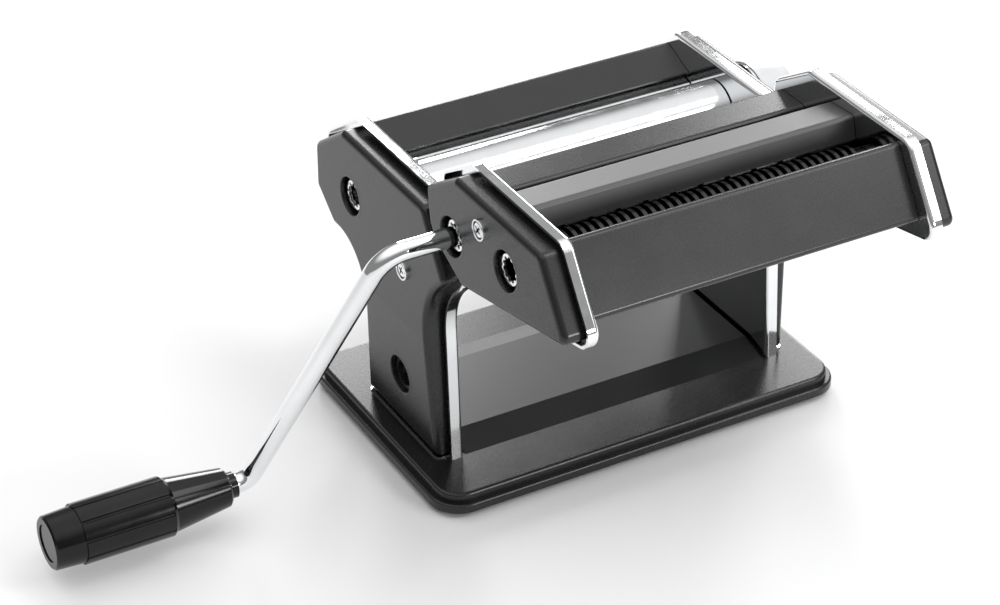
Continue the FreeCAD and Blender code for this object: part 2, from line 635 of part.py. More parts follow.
def level_edges(shape, level, half_x, half_y):
    """Names of the edges of a rounded rectangle's outline in the plane z."""
    names = []
    corner = Vector(half_x, half_y, 0)
    for number, edge in enumerate(shape.Edges, 1):
        box = edge.BoundBox
        if abs(box.ZMin - level) > 1e-4 or abs(box.ZMax - level) > 1e-4:
            continue
        on_side = max(abs(box.XMin), abs(box.XMax)) > corner.x - 1e-3
        on_front = max(abs(box.YMin), abs(box.YMax)) > corner.y - 1e-3
        if on_side or on_front:
            names.append(f"Edge{number}")
    return names


def make_base():
    """Pressed base: an outer step, a plateau, hollow beneath."""
    body = new_body("base_plate")
    tiers = [("ledge_width", "base_rise", "base_edge"), ("0", "ledge_rise", "ledge_edge")]
    for inset, rise, edge in tiers:
        half_x = f"base_length / 2 - {inset}"
        half_y = f"base_width / 2 - {inset}"
        sketch = new_sketch(body, "XY_Plane", "foot_height")
        rectangle(sketch, half_x, half_y)
        pad(body, sketch, rise)
        names = upright_edges(body.Shape, size(half_x), size(half_y))
        fillet(body, names, f"base_corner - {inset}")
        names = level_edges(body.Shape, size(f"foot_height + {rise}"), size(half_x), size(half_y))
        fillet(body, names, edge)
    hollow(body, size("foot_height"), "base_wall", "Z")
    return node(body)


make_base()

feet = []
for across in (-1, 1):
    for along in (-1, 1):
        foot = new_body("foot")
        disc = new_sketch(foot, "XY_Plane")
        circle(disc, "0", "0", "foot_radius")
        pad(foot, disc, f"{BASE_TOP} - base_wall")
        lower = [f"Edge{n}" for n, e in enumerate(foot.Shape.Edges, 1) if e.BoundBox.ZMax < 1e-3]
        fillet(foot, lower, "foot_edge")
        reach = "(base_length / 2 - base_corner + foot_offset)"
        depth = "(base_width / 2 - base_corner + foot_offset)"
        place(foot, f"{across} * {reach}", f"{along} * {depth}")
        feet.append(foot)
group("rubber_feet", feet)


def make_bed():
    """Low arched sheet that lies on the base between the legs."""
    body = new_body("bed_sheet_plate")
    crown = f"({BASE_TOP} + bed_rise)"
    points = [("-bed_front", BASE_TOP), ("-bed_front + bed_shoulder", crown),
              ("bed_rear - bed_shoulder", crown), ("bed_rear", BASE_TOP)]
    low = "bed_sheet * (bed_shoulder + bed_rise) / bed_rise / 2"
    inner = [(f"-bed_front + {low}", BASE_TOP),
             ("-bed_front + bed_shoulder + bed_sheet / 4", f"{crown} - bed_sheet"),
             ("bed_rear - bed_shoulder - bed_sheet / 4", f"{crown} - bed_sheet"),
             (f"bed_rear - {low}", BASE_TOP)]
    sketch = new_sketch(body, "YZ_Plane", "-bed_length / 2")
    polygon(sketch, points + inner[::-1])
    pad(body, sketch, "bed_length")
    return node(body)


make_bed()

# ---------------------------------------------------------------- side plates
PLATE = [
    ("rear_foot_y", BASE_TOP), ("rear_waist_y", "belly_z"), ("belly_y", "belly_z"),
    ("shoulder_y", "shoulder_low_z"), ("shoulder_y", "shoulder_z"), ("rear_top_y", "top_z"),
    ("brow_y", "top_z"), ("nose_y", "nose_z"), ("front_waist_y", "front_waist_z"),
    ("front_foot_y", BASE_TOP),
]
PLATE_ROUNDS = [None, "rear_waist_round", "belly_round", "shoulder_round", "shoulder_round",
                "top_round", "top_round", "nose_round", "front_waist_round", None]
PLATE_GAPS = ["cover_gap"] * 6 + ["cover_slant_gap"] + ["cover_gap"] * 2 + ["cover_foot_gap"]
COVER_ROUNDS = [None, "rear_waist_round + cover_gap", "belly_round - cover_gap",
                "shoulder_round - cover_gap", "shoulder_round - cover_gap",
                "top_round - cover_gap", "top_round - cover_gap + cover_slant_gap / 2",
                "nose_round - cover_slant_gap", "front_waist_round + cover_gap", None]
CUTTER = [
    ("cutter_keel_y", "cutter_keel_z"), ("cutter_heel_y", "cutter_heel_z"),
    ("cutter_back_y", "cutter_back_z"), ("cutter_rear_y", "cutter_rear_z"),
    ("cutter_rear_top_y", "cutter_top_z"), ("cutter_front_top_y", "cutter_top_z"),
    ("cutter_nose_y", "cutter_nose_z"),
]
CUTTER_ROUNDS = ["cutter_round"] + ["cutter_small_round"] * 4 + ["cutter_round"] * 2
CUTTER_GAPS = ["cutter_cover_gap", "cutter_back_gap", "cutter_back_gap"]
CUTTER_GAPS += ["cutter_cover_gap"] * 4
CUTTER_COVER_ROUNDS = ["cutter_round - cutter_cover_gap"] + ["cutter_small_round / 2"] * 4
CUTTER_COVER_ROUNDS += ["cutter_round - cutter_cover_gap"] * 2


def side_plate(label, side, outline, rounds, reach, holes):
    """Sheet pan on one side (-1 crank, 1 knob), its flange turned outwards."""
    body = new_body(label)
    back = side < 0
    sketch = new_sketch(body, "YZ_Plane", f"{side} * {WEB}")
    polygon(sketch, outline)
    pad(body, sketch, reach, back)
    round_corners(body, outline, rounds)
    hollow(body, side * size(f"{WEB} + {reach}"), "plate_sheet")
    inner = side * size(WEB)
    names = rim(body.Shape, inner, inner)
    fillet(body, names, "plate_bend")
    drill = new_sketch(body, "YZ_Plane", f"{side} * {WEB}")
    for across, up, radius in holes:
        circle(drill, across, up, radius)
    pocket(body, drill, "plate_sheet", back)
    return node(body)


def side_cover(label, side, outline, gaps, rounds, face, holes, leans=False):
    """Side cover: a shell nested in the plate's pan, its face rounded all round."""
    body = new_body(label)
    back = side < 0
    rim_at = f"({WEB_OUT} + cover_seat)"
    corners = shifted(outline, gaps)
    sketch = new_sketch(body, "YZ_Plane", f"{side} * {rim_at}")
    polygon(sketch, corners)
    pad(body, sketch, f"{face} - {rim_at}", back)
    round_corners(body, corners, rounds)
    if leans:
        wedge = new_sketch(body, "XZ_Plane", "0")
        low = f"({BASE_TOP} - cover_foot_gap)"
        drop = f"crease_lean * (crease_height - {low}) / (crease_height - {BASE_TOP})"
        polygon(wedge, [(f"{side} * {face}", "crease_height"),
                        (f"{side} * ({face} - {drop})", low),
                        (f"{side} * ({face} + cover_wall)", low),
                        (f"{side} * ({face} + cover_wall)", "crease_height")])
        before = body.Shape.Volume
        cut = body.newObject("PartDesign::Pocket", label + "_lean")
        cut.Profile = wedge
        cut.Type = "ThroughAll"
        cut.Midplane = True
        doc.recompute()
        if not cut.Shape.Volume < before:
            raise ValueError(label + " doesn't lean")
    hollow(body, side * size(rim_at), "cover_wall")
    limit = size(face) - (size("crease_lean") + 0.5 if leans else 0)
    ends = sorted((side * limit, side * size(face)))
    names = rim(body.Shape, *ends, inside=lambda e: outer_edge(e, side, size(face), leans))
    fillet(body, names, "cover_edge")
    drill = new_sketch(body, "YZ_Plane", f"{side} * {rim_at}")
    for across, up, radius in holes:
        circle(drill, across, up, radius)
    pocket(body, drill, f"{face} - {rim_at}", back)
    return node(body)


def outer_edge(edge, side, face, leans):
    """True for an edge of the cover's face, but not for the crease."""
    ends = [v.Point for v in edge.Vertexes]
    middle = edge.valueAt((edge.FirstParameter + edge.LastParameter) / 2)
    crease = size("crease_height")
    if leans and all(abs(p.z - crease) < 1e-4 for p in ends):
        return False
    drop = 0
    if leans and middle.z < crease:
        slope = size("crease_lean") / (crease - size(BASE_TOP))
        drop = slope * (crease - middle.z)
    return abs(side * middle.x - (face - drop)) < 1e-3


STUDS = "tie_stud + stud_play"
TIES = [("tie_front_y", "tie_front_z"), ("tie_low_y", "tie_low_z"), ("tie_rear_y", "tie_rear_z")]
CUTTER_TIES = [("cutter_tie_rear_y", "cutter_tie_rear_z"),
               (f"({WIDE_DRIVEN[0]} - cutter_tie_low_out)",
                f"({WIDE_DRIVEN[1]} - cutter_tie_low_drop)"),
               ("cutter_tie_front_y", "cutter_tie_front_z")]
CUTTERS = [("wide_y", "wide_z"), WIDE_DRIVEN, ("narrow_y", "narrow_z"), NARROW_DRIVEN]
SHANK = "screw_shank + stud_play"
for name, side in (("crank", -1), ("knob", 1)):
    near = side < 0
    journal = "journal" if near else "far_journal"
    bush = f"{journal} + run_fit + bush_wall"
    holes = [("roller_y", "roller_z", bush),
             (SETTING_Y, SETTING_Z, "setting_journal + run_fit"),
             ("screw_y", "screw_z", SHANK)]
    holes += [(y, z, STUDS) for y, z in TIES]
    cover_holes = [("screw_y", "screw_z", SHANK)]
    if near:
        holes.append(("clamp_y", "clamp_z", "clamp_bore + clamp_wall"))
        cover_holes.append(("clamp_y", "clamp_z", "clamp_hole"))
        cover_holes.append(("roller_y", "roller_z", "socket_hole"))
    else:
        cover_holes.append((SETTING_Y, SETTING_Z, "knob_hub + knob_play"))
    side_plate(name + "_side_plate", side, PLATE, PLATE_ROUNDS, "plate_reach", holes)
    side_cover(name + "_side_cover", side, PLATE, PLATE_GAPS, COVER_ROUNDS, COVER_FACE,
               cover_holes, leans=True)
    holes = [(y, z, "far_journal + run_fit + bush_wall") for y, z in CUTTERS]
    if near:
        wide = "journal + run_fit + bush_wall"
        holes = [(y, z, wide if i % 2 == 0 else r) for i, (y, z, r) in enumerate(holes)]
    holes += [("cutter_screw_y", "cutter_screw_z", SHANK)]
    holes += [(y, z, STUDS) for y, z in CUTTER_TIES]
    cover_holes = [("cutter_screw_y", "cutter_screw_z", SHANK)]
    if near:
        cover_holes += [(y, z, "socket_hole") for y, z in CUTTERS[::2]]
    side_plate(f"cutter_{name}_plate", side, CUTTER, CUTTER_ROUNDS, "cutter_reach", holes)
    side_cover(f"cutter_{name}_cover", side, CUTTER, CUTTER_GAPS, CUTTER_COVER_ROUNDS,
               CUTTER_FACE, cover_holes)


# ---------------------------------------------------------------- cross pieces
def studded_rod(label, y, z):
    """Tie rod: a spacer between the plates, thinner threaded ends through them."""
    end = f"({WEB} - side_play / 4)"
    stud = f"({WEB} + tie_stud_length)"
    return turned(label, [(f"-{stud}", "0"), (stud, "0"), (stud, "tie_stud"), (end, "tie_stud"),
                          (end, "tie_radius"), (f"-{end}", "tie_radius"),
                          (f"-{end}", "tie_stud"), (f"-{stud}", "tie_stud")], y, z)


def hex_nut(label, side, y, z):
    body = new_body(label)
    sketch = new_sketch(body, "YZ_Plane", f"{side} * {WEB_OUT}")
    points = [(f"nut_radius * cos({60 * k} * 1 deg)", f"nut_radius * sin({60 * k} * 1 deg)")
              for k in range(6)]
    polygon(sketch, points)
    circle(sketch, "0", "0", "tie_stud + run_fit")
    pad(body, sketch, "nut_height", side < 0)
    return place(body, "0", y, z)


for prefix, spots in (("", TIES), ("cutter_", CUTTER_TIES)):
    group(prefix + "tie_rods", [studded_rod("rod", y, z) for y, z in spots])
    group(prefix + "tie_nuts", [hex_nut("nut", side, y, z) for y, z in spots
                                for side in (-1, 1)])

cross_sheet("rear_guide", [
    ("rear_guide_low_y", "rear_guide_low_z"), ("rear_guide_top_y", "rear_guide_top_z"),
    ("rear_guide_top_y + rear_guide_lip / 3", "rear_guide_top_z - rear_guide_lip"),
][::-1], "guide_sheet", "guide_bend")
cross_sheet("front_guide", [
    ("front_guide_low_y", "front_guide_low_z"), ("front_guide_top_y", "front_guide_top_z"),
    ("front_guide_top_y - front_guide_lip / 3", "front_guide_top_z - front_guide_lip"),
], "guide_sheet", "guide_bend")
cross_sheet("cutter_rear_cover", [
    ("tray_front_y + tray_lip / 4", "tray_z - tray_lip"), ("tray_front_y", "tray_z"),
    ("tray_rear_y", "tray_z"), ("tray_rear_y + tray_lip / 4", "tray_z - tray_lip"),
][::-1], "top_sheet", "top_bend")
cross_sheet("cutter_ridge_cover", [
    ("ridge_low_y", "ridge_low_z"), ("ridge_crest_y", "ridge_crest_z"),
    ("ridge_rear_y", "ridge_rear_z"), ("ridge_rear_y + ridge_drop / 5", "ridge_rear_z - ridge_drop"),
][::-1], "top_sheet", "top_bend")
cross_sheet("cutter_front_cover", [
    ("apron_low_y + apron_lip", "apron_low_z - apron_lip / 2"), ("apron_low_y", "apron_low_z"),
    ("apron_top_y", "apron_top_z"), ("apron_top_y + apron_back", "apron_top_z - apron_back / 4"),
    ("apron_top_y + apron_back + apron_lip / 5", "apron_top_z - apron_back / 4 - apron_lip"),
][::-1], "top_sheet", "top_bend")

# ---------------------------------------------------------------- shafts and gears

def repeat_round(body, feature, count, angle=None):
    """Repeat a feature round the piece's X axis, over a full turn unless an angle is given."""
    ring = body.newObject("PartDesign::PolarPattern", feature.Label + "_ring")
    ring.Originals = [feature]
    ring.Axis = (origin(body, "X_Axis"), [""])
    ring.Angle = 360
    if angle:
        bind(ring, "Angle", angle)
    bind(ring, "Occurrences", count)
    body.Tip = ring
    return settle(ring)


def repeat_along(body, feature, count, pitch):
    """Repeat a feature along X."""
    row = body.newObject("PartDesign::LinearPattern", feature.Label + "_row")
    row.Originals = [feature]
    row.Direction = (origin(body, "X_Axis"), [""])
    bind(row, "Occurrences", count)
    bind(row, "Length", f"{pitch} * ({count} - 1)")
    body.Tip = row
    return settle(row)


def groove_socket(body, mouth):
    """Grooves round a socket's bore, for the crank's cross pin."""
    sketch = new_sketch(body, "YZ_Plane", f"-({mouth})")
    polygon(sketch, [("-groove_width / 2", "crank_rod_radius / 2"),
                     ("groove_width / 2", "crank_rod_radius / 2"),
                     ("groove_width / 2", "groove_reach"), ("-groove_width / 2", "groove_reach")])
    repeat_round(body, pocket(body, sketch, "groove_depth"), "socket_grooves")


def gear(label, teeth, width, pitch_radius, tip, root, bore, start, y, z, angle):
    """Spur gear: a hub with slim trapezoid teeth in a polar pattern."""
    body = new_body(label)
    sketch = new_sketch(body, "YZ_Plane", start)
    circle(sketch, "0", "0", f"{pitch_radius} - {root}")
    circle(sketch, "0", "0", bore)
    pad(body, sketch, width)
    half = f"({pitch_radius} * pi / {teeth} * tooth_share)"
    low = f"({pitch_radius} - {root} - 0.4)"
    foot = f"({half} + ({root} + 0.4) * tooth_slope / 2)"
    top = f"({half} - {tip} * tooth_slope)"
    sketch = new_sketch(body, "YZ_Plane", start)
    high = f"({pitch_radius} + {tip})"
    polygon(sketch, [(f"-{foot}", low), (foot, low), (half, pitch_radius), (top, high),
                     (f"-{top}", high), (f"-{half}", pitch_radius)])
    repeat_round(body, pad(body, sketch, width), teeth)
    place(body, "0", y, z, Vector(1, 0, 0), angle)
    return node(body)


SOCKET = "crank_rod_radius + crank_play"
MOUTH = f"({COVER_FACE} - socket_recess)"
ROLL_END = f"({WEB} - roller_play)"
NECK = f"({ROLL_END} - gear_width)"
GEAR_AT = f"-{ROLL_END}"
roller = turned("fixed_roller", [
    (f"-({MOUTH} - socket_depth)", "0"), (f"-({MOUTH} - socket_depth)", SOCKET),
    (f"-{MOUTH}", SOCKET), (f"-{MOUTH}", "journal"),
    (f"-{ROLL_END}", "journal"), (f"-{ROLL_END}", "gear_seat"), (f"-{NECK}", "gear_seat"),
    (f"-{NECK}", "roller_radius"), (ROLL_END, "roller_radius"), (ROLL_END, "far_journal"),
    (f"{WEB_OUT} + bush_flange + 1", "far_journal"), (f"{WEB_OUT} + bush_flange + 1", "0"),
], "roller_y", "roller_z")
groove_socket(roller, MOUTH)
node(roller)

BEARING_IN = f"({NECK} - eccentric_width)"
BEARING_BORE = "eccentric_radius + run_fit + bearing_wall + run_fit"
movable = turned("movable_roller", [
    (f"-{ROLL_END}", BEARING_BORE), (f"-{BEARING_IN}", BEARING_BORE),
    (f"-{BEARING_IN}", "roller_bore"), (BEARING_IN, "roller_bore"), (BEARING_IN, BEARING_BORE),
    (ROLL_END, BEARING_BORE), (ROLL_END, "roller_radius"), (f"-{NECK}", "roller_radius"),
    (f"-{NECK}", "gear_seat"), (f"-{ROLL_END}", "gear_seat"),
], MOVABLE_Y, MOVABLE_Z)
node(movable)

# The gears sit between the rollers' shortened ends and the crank-side plate. One has
# a tooth on the line of centres, the other a gap.
LEAN = "90 - nip_tilt"
GEAR = ("gear_teeth", "gear_width", f"({CENTRES} / 2)", "gear_tip", "gear_root", "gear_seat")
gear("fixed_roller_gear", *GEAR, GEAR_AT, "roller_y", "roller_z", LEAN)
gear("movable_roller_gear", *GEAR, GEAR_AT, MOVABLE_Y, MOVABLE_Z,
     "270 - nip_tilt + 180 / gear_teeth")

bushes = []
for side, shaft in ((-1, "journal"), (1, "far_journal")):
    inner = f"({shaft} + run_fit)"
    outer = f"({inner} + bush_wall)"
    start = f"{side} * ({WEB} + side_play / 4)"
    step = f"{side} * {WEB_OUT}"
    end = f"{side} * ({WEB_OUT} + bush_flange)"
    bushes.append(turned("bush", [(start, inner), (end, inner), (end, f"{outer} + bush_wall"),
                                  (step, f"{outer} + bush_wall"), (step, outer), (start, outer)],
                         "roller_y", "roller_z"))
group("roller_bushes", bushes)

bearings = []
for side in (-1, 1):
    start, end = f"{side} * {BEARING_IN}", f"{side} * ({ROLL_END})"
    bearings.append(tube("bearing", f"{start} + {side} * side_play", end, BEARING_OUT,
                         "eccentric_radius + run_fit", MOVABLE_Y, MOVABLE_Z))
group("roller_bearings", bearings)


def part_rod(label, radius, start, length, y, z):
    """Round bar along +X."""
    rod = doc.addObject("Part::Cylinder", label)
    bind(rod, "Radius", radius)
    bind(rod, "Height", length)
    rod.Placement = Placement(Vector(), Rotation(Vector(0, 1, 0), 90))
    for prop, text in (("x", start), ("y", y), ("z", z)):
        bind(rod, "Placement.Base." + prop, text)
    return rod


def fuse(label, pieces):
    joined = doc.addObject("Part::MultiFuse", label)
    joined.Shapes = pieces
    joined.Refine = True
    doc.recompute()
    return node(joined)


DETENT_OUT = f"({COVER_FACE} + detent_sheet)"
KNOB_IN = f"({DETENT_OUT} + knob_play)"
HUB_END = f"({KNOB_IN} + knob_hub_wall)"
SPRING_ROOM = "(knob_pull_travel + spring_wire * spring_discs * 2)"
WASHER = f"({HUB_END} + {SPRING_ROOM})"
shaft = [part_rod("journal_bar", "setting_journal", f"-({WEB_OUT} + plate_sheet)",
                  f"{WASHER} + {WEB_OUT} + plate_sheet", SETTING_Y, SETTING_Z)]
for side in (-1, 1):
    start = f"-{ROLL_END}" if side < 0 else BEARING_IN
    shaft.append(part_rod("eccentric", "eccentric_radius", start,
                          f"{ROLL_END} - {BEARING_IN}", MOVABLE_Y, MOVABLE_Z))
fuse("setting_shaft", shaft)


def scraper(label, y, z, lean, off):
    """Blade close to a roller's underside, on a square bar that spans the plates."""
    foot, seat = "-scraper_reach - scraper_bar", "-scraper_reach + scraper_bar / 2"
    tip = f"-(roller_radius + {off})"
    near = f"scraper_sheet - {NECK}"
    pieces = []
    for name, start, length, half, low, high in (
            ("bar", f"side_play - {WEB}", "web_gap - 2 * side_play", "scraper_bar", foot, seat),
            ("blade", near, f"{WEB} - side_play - ({near})", "scraper_sheet / 2", seat, tip)):
        body = new_body(f"{label}_{name}")
        sketch = new_sketch(body, "YZ_Plane", start)
        polygon(sketch, [(f"-{half}", low), (half, low), (half, high), (f"-{half}", high)])
        pad(body, sketch, length)
        place(body, "0", y, z, Vector(1, 0, 0), lean)
        pieces.append(body)
    group(label, pieces)


scraper("fixed_roller_scraper", "roller_y", "roller_z", "15", "scraper_gap")
scraper("movable_roller_scraper", MOVABLE_Y, MOVABLE_Z, "-15", "scraper_gap + throw")

# ---------------------------------------------------------------- setting knob
def holes_in_ring(body, start, depth, circle_radius, hole, first, step, count, backwards):
    """A hole at a bound angle, repeated round the piece's X axis."""
    sketch = new_sketch(body, "YZ_Plane", start)
    circle(sketch, f"-{circle_radius} * sin(({first}) * 1 deg)",
           f"{circle_radius} * cos(({first}) * 1 deg)", hole)
    cut = pocket(body, sketch, depth, backwards)
    return repeat_round(body, cut, count, f"{step} * ({count} - 1)")


plate = tube("knob_detent_plate", COVER_FACE, DETENT_OUT, "detent_radius",
             "setting_journal + knob_play", SETTING_Y, SETTING_Z)
holes_in_ring(plate, COVER_FACE, "detent_sheet", "detent_circle", "detent_hole",
              "detent_first", "detent_step", "detent_count", False)
node(plate)

KNOB_END = f"({KNOB_IN} + knob_length)"
BORE = "setting_journal + run_fit"
WELL = "knob_hub - knob_wall"
knob = turned("adjusting_knob", [
    (KNOB_IN, BORE), (HUB_END, BORE), (HUB_END, WELL), (KNOB_END, WELL), (KNOB_END, "knob_end"),
    (KNOB_IN, "knob_rim"), (KNOB_IN, "knob_rim - knob_wall"),
    (f"{KNOB_END} - knob_wall", "knob_end - knob_wall"), (f"{KNOB_END} - knob_wall", "knob_hub"),
    (KNOB_IN, "knob_hub"),
], SETTING_Y, SETTING_Z)
outer = [f"Edge{n}" for n, e in enumerate(knob.Shape.Edges, 1)
         if abs(e.BoundBox.XMin - size(KNOB_END)) < 1e-4 and e.BoundBox.YLength > 3 * size("knob_hub") / 2
         and abs(e.BoundBox.XMax - size(KNOB_END)) < 1e-4 and e.BoundBox.YLength > 2 * size("knob_end") - 1]
fillet(knob, outer, "knob_wall - 0.2")
node(knob)
node(tube("knob_cap", f"{KNOB_END} - knob_wall", f"{KNOB_END} - knob_wall / 4",
          f"{WELL} - crank_play", "0", SETTING_Y, SETTING_Z))
node(part_rod("knob_pin", "knob_pin_radius", f"{DETENT_OUT} + knob_play / 2",
              f"{KNOB_END} - knob_wall - {DETENT_OUT} - knob_play * 3 / 2",
              SETTING_Y, f"{SETTING_Z} + detent_circle"))
node(turned("knob_screw", [
    (WASHER, "0"), (f"{WASHER} + washer_height", "0"),
    (f"{WASHER} + washer_height", "washer_radius"), (WASHER, "washer_radius"),
], SETTING_Y, SETTING_Z))

# Disc springs: conical washers stacked face to face and back to back.
FOLD = f"(({SPRING_ROOM} - spring_wire - 2 * spring_gap) / (2 * spring_discs))"
folds = range(2 * int(size("spring_discs")) + 1)
radii = ["spring_bore", "spring_radius"]
front = [(f"{HUB_END} + spring_gap + {k} * {FOLD}", radii[k % 2]) for k in folds]
back = [(f"{x} + spring_wire", radius) for x, radius in front]
node(turned("knob_spring", front + back[::-1], SETTING_Y, SETTING_Z))

# ---------------------------------------------------------------- cutters
CUTTER_MOUTH = f"({CUTTER_FACE} - socket_recess)"
BUSH_OUT = f"({WEB_OUT} + bush_flange)"
CUT_GEAR_AT = f"({BUSH_OUT} + side_play)"
CUT_GEAR_END = f"({CUT_GEAR_AT} + cutter_gear_width)"
HOOK_IN = f"({WEB} - rail_thick - hook_play - hook_wall)"


def cutter(label, y, z, pitch, ring, count, driven):
    """Cutter: a core with journals, and cutting rings in a linear pattern."""
    near_end = f"({BUSH_OUT} + side_play)"
    if driven:
        near = [(f"-{near_end}", "0"), (f"-{near_end}", "far_journal"), (f"-{ROLL_END}", "far_journal")]
    else:
        floor = f"-({CUTTER_MOUTH} - socket_depth)"
        near = [(floor, "0"), (floor, SOCKET), (f"-{CUTTER_MOUTH}", SOCKET),
                (f"-{CUTTER_MOUTH}", "journal"), (f"-{ROLL_END}", "journal")]
    body = turned(label, near + [
        (f"-{ROLL_END}", "core_radius"), (ROLL_END, "core_radius"), (ROLL_END, "far_journal"),
        (CUT_GEAR_END, "far_journal"), (CUT_GEAR_END, "0"),
    ], y, z)
    start = f"-({pitch} * ({count} - 1) + {ring}) / 2"
    sketch = new_sketch(body, "YZ_Plane", start)
    circle(sketch, "0", "0", "ring_radius")
    circle(sketch, "0", "0", "core_radius - 0.5")
    repeat_along(body, pad(body, sketch, ring), count, pitch)
    if not driven:
        groove_socket(body, CUTTER_MOUTH)
    return node(body)


def comb(label, y, z, lean, pitch, ring, count, end):
    """Stripper: a bar between two ends, with a tooth in each groove of one cutter."""
    body = new_body(label)
    bar = "comb_bar"
    middle = f"-(ring_radius + comb_off + {bar})"
    sketch = new_sketch(body, "YZ_Plane", f"side_play - {end}")
    polygon(sketch, [(f"-{bar}", f"{middle} - {bar}"), (bar, f"{middle} - {bar}"),
                     (bar, f"{middle} + {bar}"), (f"-{bar}", f"{middle} + {bar}")])
    pad(body, sketch, f"2 * ({end} - side_play)")
    tooth = f"{pitch} - {ring} - 2 * comb_side_play"
    sketch = new_sketch(body, "YZ_Plane", f"-({pitch} * ({count} - 1) + {tooth}) / 2")
    tip = "-(core_radius + comb_play)"
    polygon(sketch, [("-comb_tooth / 2", middle), ("comb_tooth / 2", middle),
                     ("comb_tooth / 2", tip), ("-comb_tooth / 2", tip)])
    repeat_along(body, pad(body, sketch, tooth), count, pitch)
    place(body, "0", y, z, Vector(1, 0, 0), lean)
    return node(body)


CUT_GEAR = ("cutter_gear_teeth", "cutter_gear_width", "(cutter_centres / 2)", "cutter_gear_tip",
            "cutter_gear_root", "far_journal", CUT_GEAR_AT)
WIDE = ("wide_pitch", "wide_ring")
NARROW = ("narrow_pitch", "narrow_ring")
for kind, (y, z), (far_y, far_z), rings in (
        ("wide", CUTTERS[0], CUTTERS[1], WIDE), ("narrow", CUTTERS[2], CUTTERS[3], NARROW)):
    count = kind + "_count"
    cutter(f"{kind}_drive_cutter", y, z, *rings, count, False)
    cutter(f"{kind}_driven_cutter", far_y, far_z, *rings, f"({count} - 1)", True)
    end = HOOK_IN if kind == "wide" else WEB
    comb(f"{kind}_drive_comb", y, z, "35", *rings, f"({count} - 1)", end)
    comb(f"{kind}_driven_comb", far_y, far_z, "-35", *rings, f"({count} - 2)", WEB)
    gear(f"{kind}_drive_gear", *CUT_GEAR, y, z, "90 - cutter_tilt")
    gear(f"{kind}_driven_gear", *CUT_GEAR, far_y, far_z,
         "270 - cutter_tilt + 180 / cutter_gear_teeth")

bushes = []
for i, (y, z) in enumerate(CUTTERS):
    for side in (-1, 1):
        shaft = "journal" if side < 0 and i % 2 == 0 else "far_journal"
        inner = f"({shaft} + run_fit)"
        bushes.append(tube("bush", f"{side} * ({WEB} + side_play / 4)", f"{side} * {BUSH_OUT}",
                           f"{inner} + bush_wall", inner, y, z))
group("cutter_bushes", bushes)


def screw(side, face, y, z):
    """Pan-head screw through a side cover into the plate behind it."""
    head = f"({face} + screw_rise)"
    body = turned("screw", [
        (f"{side} * {WEB}", "0"), (f"{side} * {head}", "0"),
        (f"{side} * {head}", "screw_head - screw_rise"),
        (f"{side} * ({face} + screw_rise / 3)", "screw_head"), (f"{side} * {face}", "screw_head"),
        (f"{side} * {face}", "screw_shank"), (f"{side} * {WEB}", "screw_shank"),
    ], y, z)
    return body


group("cover_screws", [screw(side, COVER_FACE, "screw_y", "screw_z") for side in (-1, 1)])
group("cutter_screws", [screw(side, CUTTER_FACE, "cutter_screw_y", "cutter_screw_z")
                        for side in (-1, 1)])
node(turned("clamp_socket", [
    (f"-({WEB} - plate_sheet)", "clamp_bore"), (f"-{WEB}", "clamp_bore + clamp_wall"),
    (f"-({COVER_FACE} - crease_lean - cover_wall)", "clamp_bore + clamp_wall"),
    (f"-({COVER_FACE} - crease_lean - cover_wall)", "clamp_bore"),
], "clamp_y", "clamp_z"))

# ---------------------------------------------------------------- rails and hooks
SLANT = "atan2(slant_rise; brow_y - nose_y)"


def slanted(label, corners, start, length):
    """Profile square to the slanted front edge, padded up along it.

    Local x runs along X towards the plate, local y forwards off the slant."""
    body = new_body(label)
    sketch = new_sketch(body, "XY_Plane", start)
    polygon(sketch, corners)
    pad(body, sketch, length)
    tilt = f"90 - {SLANT} / 1 deg"
    return place(body, "0", "nose_y", "nose_z", Vector(-1, 0, 0), tilt)


rails, hooks = [], []
for side in (-1, 1):
    out = f"{side} * {WEB}"
    inn = f"{side} * ({WEB} - rail_thick)"
    corners = [(inn, "-rail_front"), (out, "-rail_front"), (out, "rail_back"), (inn, "rail_back")]
    rails.append(slanted("rail", corners, "rail_start", "rail_length"))
    gap = f"{side} * ({WEB} - rail_thick - hook_play)"
    far = f"{side} * {HOOK_IN}"
    front = "-(rail_front + hook_play)"
    deep = "-(rail_front + hook_play + hook_wall)"
    corners = [(out, deep), (out, front), (gap, front), (gap, "-hook_clear"), (far, "-hook_clear"),
               (far, deep)]
    channel = slanted("channel", corners, "rail_start", "rail_length + hook_play")
    corners = [(out, deep), (out, "-hook_clear"), (far, "-hook_clear"), (far, deep)]
    stop = slanted("stop", corners, "rail_start + rail_length + hook_play", "hook_wall")
    hook = doc.addObject("Part::MultiFuse", "hook")
    hook.Shapes = [channel, stop]
    hook.Refine = True
    hooks.append(hook)
group("head_rails", rails)
group("head_hooks", hooks)

# ---------------------------------------------------------------- crank
TIP_X = f"-({CUTTER_MOUTH} - socket_depth + crank_tip_gap)"
PIN_END = "(crank_end_x - grip_start - grip_length + grip_cap_depth + pin_head_height + 1)"


